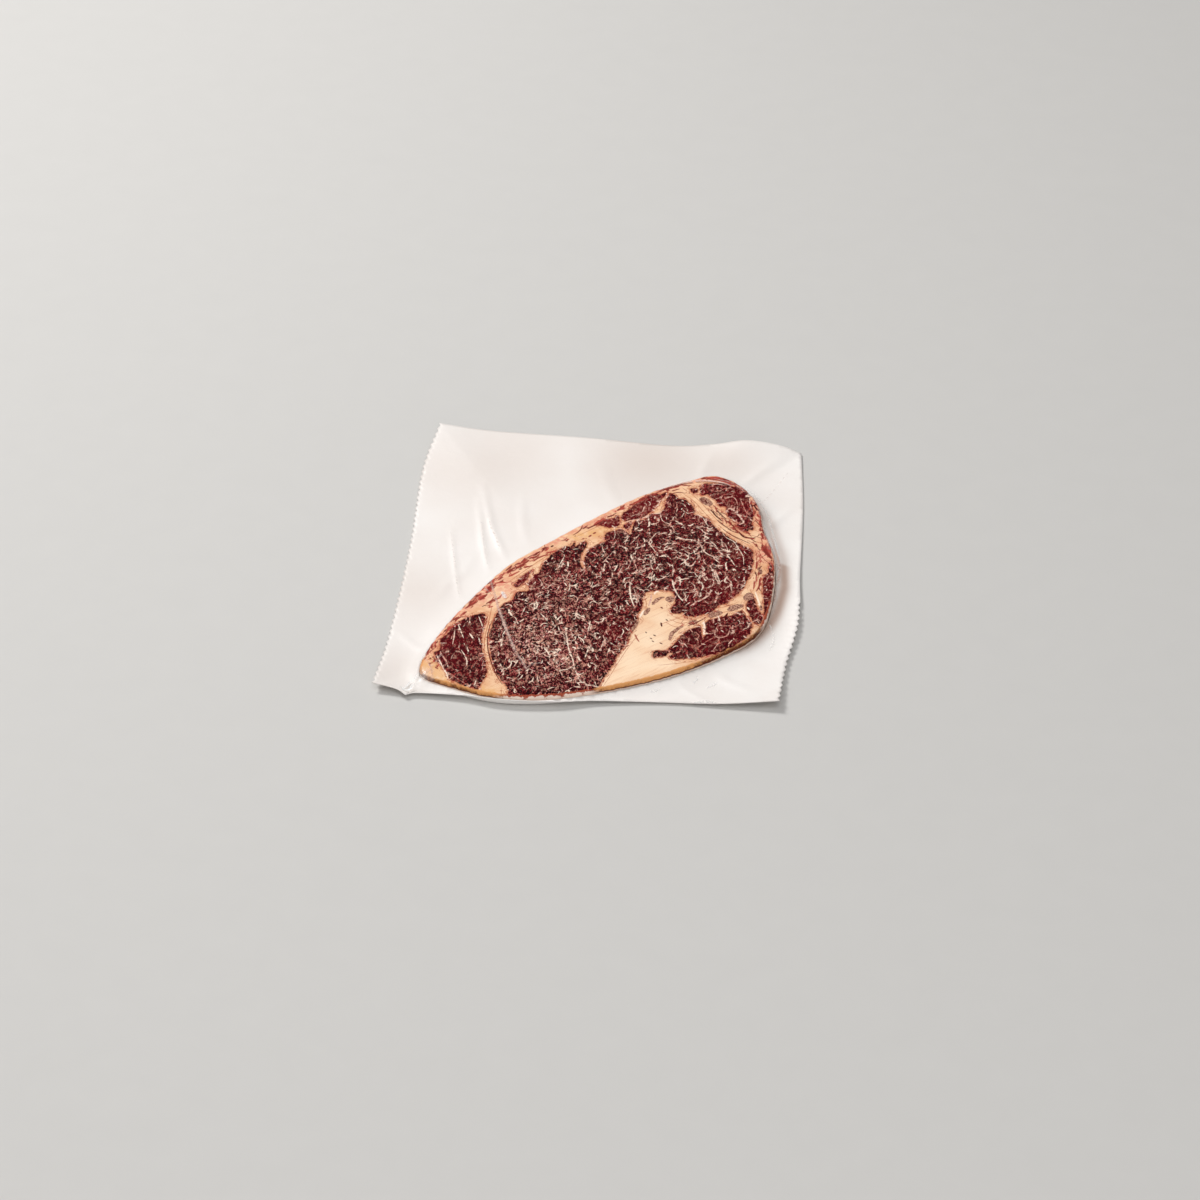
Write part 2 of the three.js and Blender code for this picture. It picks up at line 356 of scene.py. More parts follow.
@dataclass(frozen=True)
class Drape:
    """How the two sheets leave the steak's side and run down to the flat flange.

    Attributes:
        steak: The meat that they hold.
        pouch: Their cut edge.
        ridge_share: Height of the seam at the steak's side, as a share of the steak's top there.
        reach: Distance in which the slope dies away.
        gap: Room between a sheet and the meat.
        flat: Height of the web's upper face where it lies on the ground.
        fall: How sharply the slope bends, as a power of the distance.
        taut_half: Half-width of the film pulled taut to the fold's tip, there and how much more
            at the steak's side.
        bearings: Directions from the steak's centre in which ridge and edge are measured.
        creases: Creases pressed into both sheets, each its points, height and half-width.
    """

    steak: SteakShape
    pouch: PouchShape
    ridge_share: float = 0.58
    reach: float = 7.5
    gap: float = 0.3
    flat: float = 0.4
    fall: float = 1.2
    taut_half: tuple[float, float] = (1.6, 6.5)
    bearings: int = 2400
    creases: tuple[tuple[Places, float, float], ...] = (
        (((-49, -16), (-53, -5), (-60, 13), (-65, 28), (-74, 64)), 1.0, 2.2),
        (((-58, -26), (-62, -14), (-65.5, 0), (-68.5, 14), (-71, 28), (-75, 52)), 0.9, 1.9),
        (((-87, 20), (-84, 3), (-81, -12), (-78, -28), (-73.5, -48)), 0.6, 1.6),
        (((-40, -10), (-41, 8), (-47, 30), (-50, 58)), 0.6, 2.8),
        (((-70, -2), (-75.6, -24), (-82, -32), (-88, -50)), 0.5, 3.0),
        (((-84, -100), (-94, -92), (-104, -80)), 0.5, 2.6), (((92, 30), (98, 44), (106, 60)), 0.6, 2.4),
        (((74, 72), (82, 88), (96, 108)), 0.7, 3.0), (((52, 76), (52, 92), (58, 112)), 0.5, 3.2),
        (((101, -30), (106, -22), (113, -18)), 0.5, 1.8), (((70, -100), (80, -110), (96, -120)), 0.7, 3.0),
        (((52, -114), (60, -121), (70, -129)), 0.6, 2.0), (((10, 44), (0, 66), (-8, 96)), 0.4, 4.0),
    )

    def around(self) -> tuple[np.ndarray, ...]:
        """Ridge and edge seen from the steak's centre.

        Returns:
            Angles, the ridge's radius, the edge's radius, the edge's height and the steak's top.
        """
        side, outward = self.steak.side(1600)
        crest = side + outward * 2 * self.gap - self.steak.centre
        edge = self.pouch.edge()
        rim = edge[:, :2] - self.steak.centre
        angles = np.linspace(-math.pi, math.pi, self.bearings, endpoint=False)

        def spread(points: np.ndarray, values: np.ndarray) -> np.ndarray:
            """Spreads values at points over all the bearings.

            Args:
                points: The points, seen from the centre.
                values: Their values.

            Returns:
                The value in each direction.
            """
            turn = np.arctan2(points[:, 1], points[:, 0])
            order = np.argsort(turn)
            return np.interp(angles, turn[order], values[order], period=2 * math.pi)

        top = self.steak.top(side, np.ones(len(side)))
        return (
            angles,
            spread(crest, np.hypot(*crest.T)),
            spread(rim, np.hypot(*rim.T)),
            spread(rim, edge[:, 2]),
            spread(crest, top),
        )

    def slope(self, at: np.ndarray) -> tuple[np.ndarray, np.ndarray]:
        """Height of the web's upper face on the slope and the flange.

        Args:
            at: Points between the ridge and the edge.

        Returns:
            The height of the web, and the height that film pulled taut to the fold's tip has.
        """
        angles, crest, rim, lift, top = self.around()
        away = at - self.steak.centre
        turn, radius = np.arctan2(away[:, 1], away[:, 0]), np.hypot(*away.T)
        crest, rim, lift, top = (
            np.interp(turn, angles, values, period=2 * math.pi)
            for values in (crest, rim, lift, top)
        )
        width = np.maximum(rim - crest, 1e-3)
        share = np.clip((radius - crest) / width, 0, 1)
        distance = share * width
        weight = np.exp(-((distance / self.reach) ** self.fall)) * (1 - share**2)
        level = self.flat + lift * share**2
        height = level * (1 - weight) + top * self.ridge_share * weight
        for places, rise, reach in self.creases:
            line = smooth_curve(places, False, 6)
            far, place = distance_to_line(at, line)
            fade = np.sin(math.pi * np.clip(place, 0.04, 0.96)) ** 0.6
            height = height + rise * np.exp(-((far / reach) ** 2)) * fade * ease(share, 0, 0.25)
        tip = np.array(self.pouch.fold_tip) - self.steak.centre
        turned = (turn - math.atan2(tip[1], tip[0]) + math.pi) % (2 * math.pi) - math.pi
        beside = np.abs(turned) * radius
        taut = top + (self.flat + lift - top) * share
        tip_half, more = self.taut_half
        hold = np.exp(-((beside / (more * (1 - share) + tip_half)) ** 2))
        return height, height + np.maximum(taut - height, 0) * hold


# ---------------------------------------------------------------------------------------------
# Meshes


def patch(
    outer: np.ndarray, inner: np.ndarray | None, inner_points: np.ndarray
) -> tuple[np.ndarray, np.ndarray]:
    """Fills the space inside a loop, or between two, with triangles.

    Args:
        outer: Loop round the space.
        inner: Loop round a hole, or None.
        inner_points: Points to use in between.

    Returns:
        Points, those of the outer loop first and then those of the inner one, and triangles
        that run anticlockwise.
    """
    loops = [outer] if inner is None else [outer, inner]
    points = np.vstack([*loops, inner_points])
    edges, start = [], 0
    for loop in loops:
        count = len(loop)
        edges += [(start + i, start + (i + 1) % count) for i in range(count)]
        start += count
    done = delaunay_2d_cdt([Vector(p) for p in points.tolist()], edges, [], 1, 1e-7)
    triangles = np.array(done[2], int)
    at = np.array([tuple(v) for v in done[0]])
    middle = at[triangles].mean(1)
    keep = inside(middle, outer)
    if inner is not None:
        keep &= ~inside(middle, inner)
    return at, triangles[keep]


def lattice(low: np.ndarray, high: np.ndarray, step: float) -> tuple[np.ndarray, np.ndarray]:
    """Fills a box with an even triangular lattice.

    Args:
        low: The box's lowest corner.
        high: Its highest corner.
        step: Distance between neighbours.

    Returns:
        The points, and which of them also form the lattice of twice the step.
    """
    rows = int((high[1] - low[1]) / (step * math.sqrt(3) / 2)) + 1
    columns = int((high[0] - low[0]) / step) + 1
    j, i = np.meshgrid(np.arange(rows), np.arange(columns), indexing="ij")
    x = low[0] + (i + 0.5 * (j % 2)) * step
    y = low[1] + j * step * math.sqrt(3) / 2
    coarse = (j % 2 == 0) & ((i + (j // 2) % 2) % 2 == 0)
    return np.stack([x.ravel(), y.ravel()], 1), coarse.ravel()


def ring_triangles(first: np.ndarray, second: np.ndarray) -> np.ndarray:
    """Joins two rings of the same length with triangles.

    Args:
        first: Indices of the inner or upper ring, anticlockwise.
        second: Indices of the outer or lower ring.

    Returns:
        Triangles that face up or outwards.
    """
    a, b = first, np.roll(first, -1)
    c, d = second, np.roll(second, -1)
    return np.vstack([np.stack([a, c, d], 1), np.stack([a, d, b], 1)])


class Skin:
    """A mesh on the drawing that starts with a patch and grows ring by ring."""

    def __init__(
        self, points: np.ndarray, heights: np.ndarray, triangles: np.ndarray, rim: np.ndarray
    ) -> None:
        """Starts with the patch.

        Args:
            points: Its points on the drawing.
            heights: Their heights.
            triangles: Its triangles.
            rim: Indices of the points that the first ring joins.
        """
        self.points, self.heights, self.triangles = [points], [heights], [triangles]
        self.rim, self.size = rim, len(points)

    def add(self, points: np.ndarray, heights: np.ndarray, triangles: np.ndarray) -> None:
        """Adds a part to the mesh.

        Args:
            points: Its points.
            heights: Their heights.
            triangles: Its triangles, whose indices count all the points of the mesh.
        """
        self.points.append(points)
        self.heights.append(heights)
        self.triangles.append(triangles)
        self.size += len(points)

    def ring(self, points: np.ndarray, heights: np.ndarray, under: bool = False) -> None:
        """Joins one more ring to the last, which is as long.

        Args:
            points: Its points.
            heights: Their heights.
            under: Whether the patch lies outside the ring, and not inside it.
        """
        ring = np.arange(self.size, self.size + len(points))
        self.add(points, heights, ring_triangles(*((ring, self.rim) if under else (self.rim, ring))))
        self.rim = ring

    def close(self, step: float, room: float, height: float, down: bool) -> None:
        """Fills the last ring with a flat floor.

        Args:
            step: Distance between the floor's points.
            room: Least distance between them and the ring.
            height: Height of the floor.
            down: Whether it faces down.
        """
        last = self.points[-1]
        middle, _ = lattice(last.min(0), last.max(0), step)
        middle = middle[depth_in(middle, last, FLOOR_REACH) > room]
        plan, base = patch(last, None, middle)
        base = np.where(base < len(last), base + self.rim[0], base + self.size - len(last))
        plan = plan[len(last) :]
        self.add(plan, np.full(len(plan), height), base[:, ::-1] if down else base)

    def plan(self) -> np.ndarray:
        """Places of all the points on the drawing."""
        return np.vstack(self.points)

    def make(self, name: str) -> bpy.types.Object:
        """Makes the piece of this name."""
        points = np.column_stack([self.plan(), np.concatenate(self.heights)])
        return make_object(name, points, np.vstack(self.triangles))


def make_object(name: str, points: np.ndarray, triangles: np.ndarray) -> bpy.types.Object:
    """Writes a mesh in the part's frame and adds its object, at the origin.

    Args:
        name: Name of the piece.
        points: Points in millimetres on the drawing.
        triangles: Rows of three indices.

    Returns:
        The new object, the only one selected, and active.
    """
    mesh = bpy.data.meshes.new(name)
    moved = (points - np.array([*DRAWN_MIDDLE, 0.0])) * MM
    mesh.from_pydata(moved.tolist(), [], triangles.tolist())
    mesh.validate()
    made = bpy.data.objects.new(name, mesh)
    bpy.context.scene.collection.objects.link(made)
    bpy.ops.object.select_all(action="DESELECT")
    made.select_set(True)
    bpy.context.view_layer.objects.active = made
    bpy.ops.object.shade_smooth()
    return made


def paint(piece: bpy.types.Object, name: str, values: np.ndarray) -> None:
    """Stores one number for each point of a piece, which its material reads by its name."""
    attribute = piece.data.attributes.new(name, "FLOAT", "POINT")
    attribute.data.foreach_set("value", values.astype(np.float32))


def paint_streaks(piece: bpy.types.Object, name: str, pressed: Pressed) -> None:
    """Stores what a material needs to draw streaks that are finer than the mesh.

    Args:
        piece: The piece.
        name: Name of the streaks.
        pressed: How they lie among its points.
    """
    paint(piece, name, pressed.depth)
    paint(piece, name + "_aside", pressed.aside)
    paint(piece, name + "_half", pressed.half)


def thicken(piece: bpy.types.Object, thickness: float, offset: float) -> None:
    """Gives a sheet its two faces and its cut edge.

    Args:
        piece: The sheet, one layer of triangles.
        thickness: In millimetres.
        offset: -1 to grow below the sheet, 1 to grow above it.
    """
    solidify = piece.modifiers.new("thickness", "SOLIDIFY")
    solidify.thickness = thickness * MM
    solidify.offset = offset
    solidify.use_even_offset = False
    solidify.use_quality_normals = True
    bpy.context.view_layer.objects.active = piece
    bpy.ops.object.modifier_apply(modifier=solidify.name)


# ---------------------------------------------------------------------------------------------
# What shows on the steak's cut face


@dataclass(frozen=True)
class CutFace:
    """Muscles, seams and streaks as they lie on the steak's cut face.

    Attributes:
        eye_left: Left border of the large central muscle, from the far end to the near one.
        eye_near: Its near border along the steak's side.
        eye_right: Its right border beside the wedge of fat, and the inner corner above it.
        eye_lobe: The right lobe's border, from the inner corner round to the diagonal fat.
        eye_far: Its far border, back to the left one.
        tip_muscle: Muscle at the near left tip.
        far_strip: Thin one at the far left side.
        far_islands: Small ones beside it.
        cap: Small one at the far end.
        cap_lobe: Its loose end.
        side_strip: Thin one at the right side.
        wedge: Small one inside that.
        near_muscle: One at the near right side, beyond the wedge of fat.
    """

    eye_left: Places = (
        (-43.6, -57), (-45.7, -59.3), (-47.5, -60.7), (-48.6, -63.6), (-49.3, -65.7),
        (-50, -69.3), (-51, -77), (-51.4, -82), (-52.1, -87), (-51.8, -90.7), (-51, -95.7),
        (-50.1, -100.7), (-49, -106.4), (-47.5, -112), (-45.7, -118), (-43, -123.6),
        (-40, -128.6), (-38, -131.4), (-36.4, -135), (-35.6, -141.5),
    )  # fmt: skip
    eye_near: Places = (
        (-26, -141.8), (-16, -140.2), (-6, -137.4), (3, -134.4), (9.6, -131.8),
    )  # fmt: skip
    eye_right: Places = (
        (12, -126.5), (13.8, -120.7), (16, -114.3), (18, -108), (19.6, -101.4), (21.4, -95.7),
        (23, -90.7), (24.3, -86.4), (25, -80.7), (26.8, -75), (27.5, -69.3), (26.8, -64.3),
        (28.6, -60), (29.2, -55), (28.8, -50), (29.6, -45.5), (31.4, -42.6),
    )  # fmt: skip
    eye_lobe: Places = (
        (35.7, -41.4), (40, -40.7), (44.3, -41.4), (46.4, -46.4), (47, -51.4), (45.7, -54.3),
        (45, -58.6), (47, -60.7), (50.7, -60.4), (52, -59.3), (53, -62), (55.7, -63),
        (59.3, -62), (62.9, -60), (65.7, -59.3), (68.6, -56.4), (70, -53), (72.5, -50),
        (75, -49.3), (77.9, -44.3), (80.7, -40.7), (82.9, -35.7), (84.3, -31.4), (85.8, -24.2),
        (87.5, -18.3), (87, -12.5), (87.9, -8.3), (87, -5), (87.5, -1.3),
    )  # fmt: skip
    eye_far: Places = (
        (86.7, 1.7), (84.2, 4.2), (80.8, 6.3), (77.5, 9.2), (73.3, 12.5), (69.2, 17),
        (65.8, 20), (62.5, 25), (60, 30), (56.5, 32), (51.4, 33.6), (51.8, 36.4), (51, 39.3),
        (49.3, 43), (47, 46.4), (44.3, 48.6), (40.7, 49.6), (38.6, 53), (36.4, 54.6),
        (35, 53), (34.3, 47), (33.6, 38), (31.4, 33), (27, 32.5), (25.7, 30.7), (23.6, 26.4),
        (19.6, 25), (18, 23), (17.5, 18.6), (17, 10.7), (14.3, 13), (12, 14.6), (10, 15.4),
        (8, 13.6), (5, 12.5), (2.9, 10.7), (2.3, 5), (3.6, 2.9), (0.7, 0.7), (-2.9, -2.9),
        (-5.4, -6.4), (-6.4, -10.7), (-6.8, -19.3), (-5.4, -23.6), (-6.8, -24.3),
        (-8.4, -20.7), (-9.3, -15), (-8.6, -9.3), (-7.1, -3.6), (-7.1, 0), (-8, 2),
        (-9.3, 1.4), (-11, 0), (-13, -3.6), (-13.6, 0.4), (-14.6, 0), (-15.7, -3.6),
        (-18.6, -3.6), (-20.7, -5.7), (-23.6, -8.6), (-25.4, -11.4), (-26.8, -15),
        (-29, -20), (-30, -23.6), (-30.6, -28), (-30.7, -30.7), (-33.2, -32), (-33.6, -35),
        (-35.7, -38), (-36.4, -42), (-35, -45), (-35.4, -47.9), (-38, -48.6), (-41.4, -49.3),
        (-42.3, -53.6),
    )  # fmt: skip
    tip_muscle: Places = (
        (-60.5, -71), (-66, -74.5), (-70.4, -78.6), (-72, -80.7), (-73.6, -83.6),
        (-74.3, -88), (-75.7, -90.7), (-78, -95), (-77.5, -100.7), (-78, -105),
        (-80.4, -106.4), (-79, -110), (-77, -114.3), (-74.3, -118.6), (-71.4, -123),
        (-70, -126.4), (-68, -129.3), (-64.3, -131.4), (-59.3, -133.6), (-55, -135),
        (-53, -136), (-52, -133), (-51.3, -129.3), (-50, -125.7), (-49.5, -122),
        (-49.7, -119), (-51, -114), (-52, -108.5), (-54, -103.5), (-55, -98), (-56, -91),
        (-55.7, -83.5), (-56, -72), (-58, -70),
    )  # fmt: skip
    far_strip: Places = (
        (10, 25.7), (12, 24.3), (13.6, 23.6), (16, 25), (20, 26.4), (23.6, 29.3), (25.7, 33),
        (28, 36.4), (29.3, 41.4), (30.7, 45.7), (33, 50.7), (34, 55), (32, 54.3), (30.7, 52),
        (28, 53.6), (25, 52), (21.4, 48.6), (19.3, 45), (16.4, 41.4), (14.3, 36.4),
        (12, 33.6), (10.7, 30.7),
    )  # fmt: skip
    far_islands: tuple[Places, ...] = (
        (
            (-3.6, 19.3), (-1.4, 18.6), (1.4, 17.5), (3.6, 16.4), (8, 17.5), (9.6, 20.7),
            (9.6, 24.3), (8.6, 28), (7, 29), (5.7, 26.4), (2, 25), (-0.7, 23),
        ),
        (
            (12, 18), (13.6, 15.4), (15.4, 15.7), (16.4, 19.3), (16.8, 23), (15, 23.6),
            (13, 20.7),
        ),
        (
            (-34.3, -27.5), (-38, -30.7), (-40, -34.3), (-42, -38), (-43.4, -41.4),
            (-43, -44.3), (-41.4, -44.3), (-39.3, -42), (-37.5, -38.6), (-36.4, -35.7),
            (-35.7, -30.7),
        ),
    )  # fmt: skip
    cap: Places = (
        (53, 62.5), (53.3, 55.8), (54.6, 53.3), (57.5, 55), (59.2, 52.5), (61.7, 50.4),
        (63.8, 46.7), (65.8, 43.3), (68.3, 44.2), (69.2, 40.8), (70, 35.8), (71.7, 32.5),
        (75, 30), (77, 28), (75.8, 25), (77.5, 22.5), (80, 20), (82.5, 19.6), (83.3, 21.7),
        (86.3, 23.3), (84.6, 28.3), (85, 33.3), (85.4, 38.3), (84.2, 43.3), (83.8, 48.3),
        (81.7, 52.5), (81.7, 57.5), (80, 60), (76.7, 61.7), (74.2, 63.8), (70.8, 65),
        (66.7, 67.5), (60, 66.3), (55, 65.8),
    )  # fmt: skip
    cap_lobe: Places = ((47.5, 60), (48, 56.7), (50, 55), (51.7, 57.5), (50.5, 60.5))
    side_strip: Places = (
        (96.7, -8), (99, -12.5), (100, -25), (100, -45), (98.6, -58), (96.6, -57),
        (95.7, -46.4), (95.4, -41.4), (94.6, -35.7), (93.8, -25), (94.6, -20.8),
        (96.7, -17.5),
    )  # fmt: skip
    wedge: Places = (
        (86.4, -47), (86.8, -53), (87.9, -56.4), (89.3, -60), (91.4, -64.3), (93.6, -65.7),
        (95.4, -63.6), (96.4, -60), (95.4, -57), (93.6, -53.6), (92, -50), (91, -45.7),
        (89.6, -41.4), (87.9, -44.3),
    )  # fmt: skip
    near_muscle: Places = (
        (38.6, -98.6), (39.3, -100.4), (41.4, -99.6), (45, -98.6), (47, -95.7), (49.3, -95.7),
        (47.5, -99.3), (49.3, -100.4), (52, -100.7), (55.7, -99.3), (59.3, -98.6),
        (63.9, -97.8), (67.6, -96.2), (71.6, -94.4), (75, -92), (78, -89.6), (81, -86.8),
        (83.8, -83.8), (86.2, -80.8), (88.2, -77.6), (89.8, -74), (90.2, -70.7), (90.7, -67),
        (89.3, -63.6), (87, -60), (85.4, -57), (83.9, -54.6), (82, -55.7), (80, -58.6),
        (76.4, -60.7), (73, -61.4), (69.3, -63.6), (66, -65.7), (65, -68.6), (65.4, -75.7),
        (64.6, -82), (63.2, -74.3), (62, -70.7), (58.6, -73), (55, -75.7), (53, -79.3),
        (50.7, -84.3), (48.6, -88.6), (46.4, -92), (45, -93.6), (41.4, -94), (38.9, -95),
    )  # fmt: skip

    def muscles(self) -> list[np.ndarray]:
        """Draws the outlines of all the lean.

        Returns:
            The closed loops, the eye's first.
        """
        eye = self.eye_left + self.eye_near + self.eye_right + self.eye_lobe + self.eye_far
        places = [
            eye,
            self.tip_muscle,
            self.far_strip,
            *self.far_islands,
            self.cap,
            self.cap_lobe,
            self.side_strip,
            self.wedge,
            self.near_muscle,
        ]
        return [smooth_curve(loop, True, 3) for loop in places]


Streak = tuple[Places, float, float]


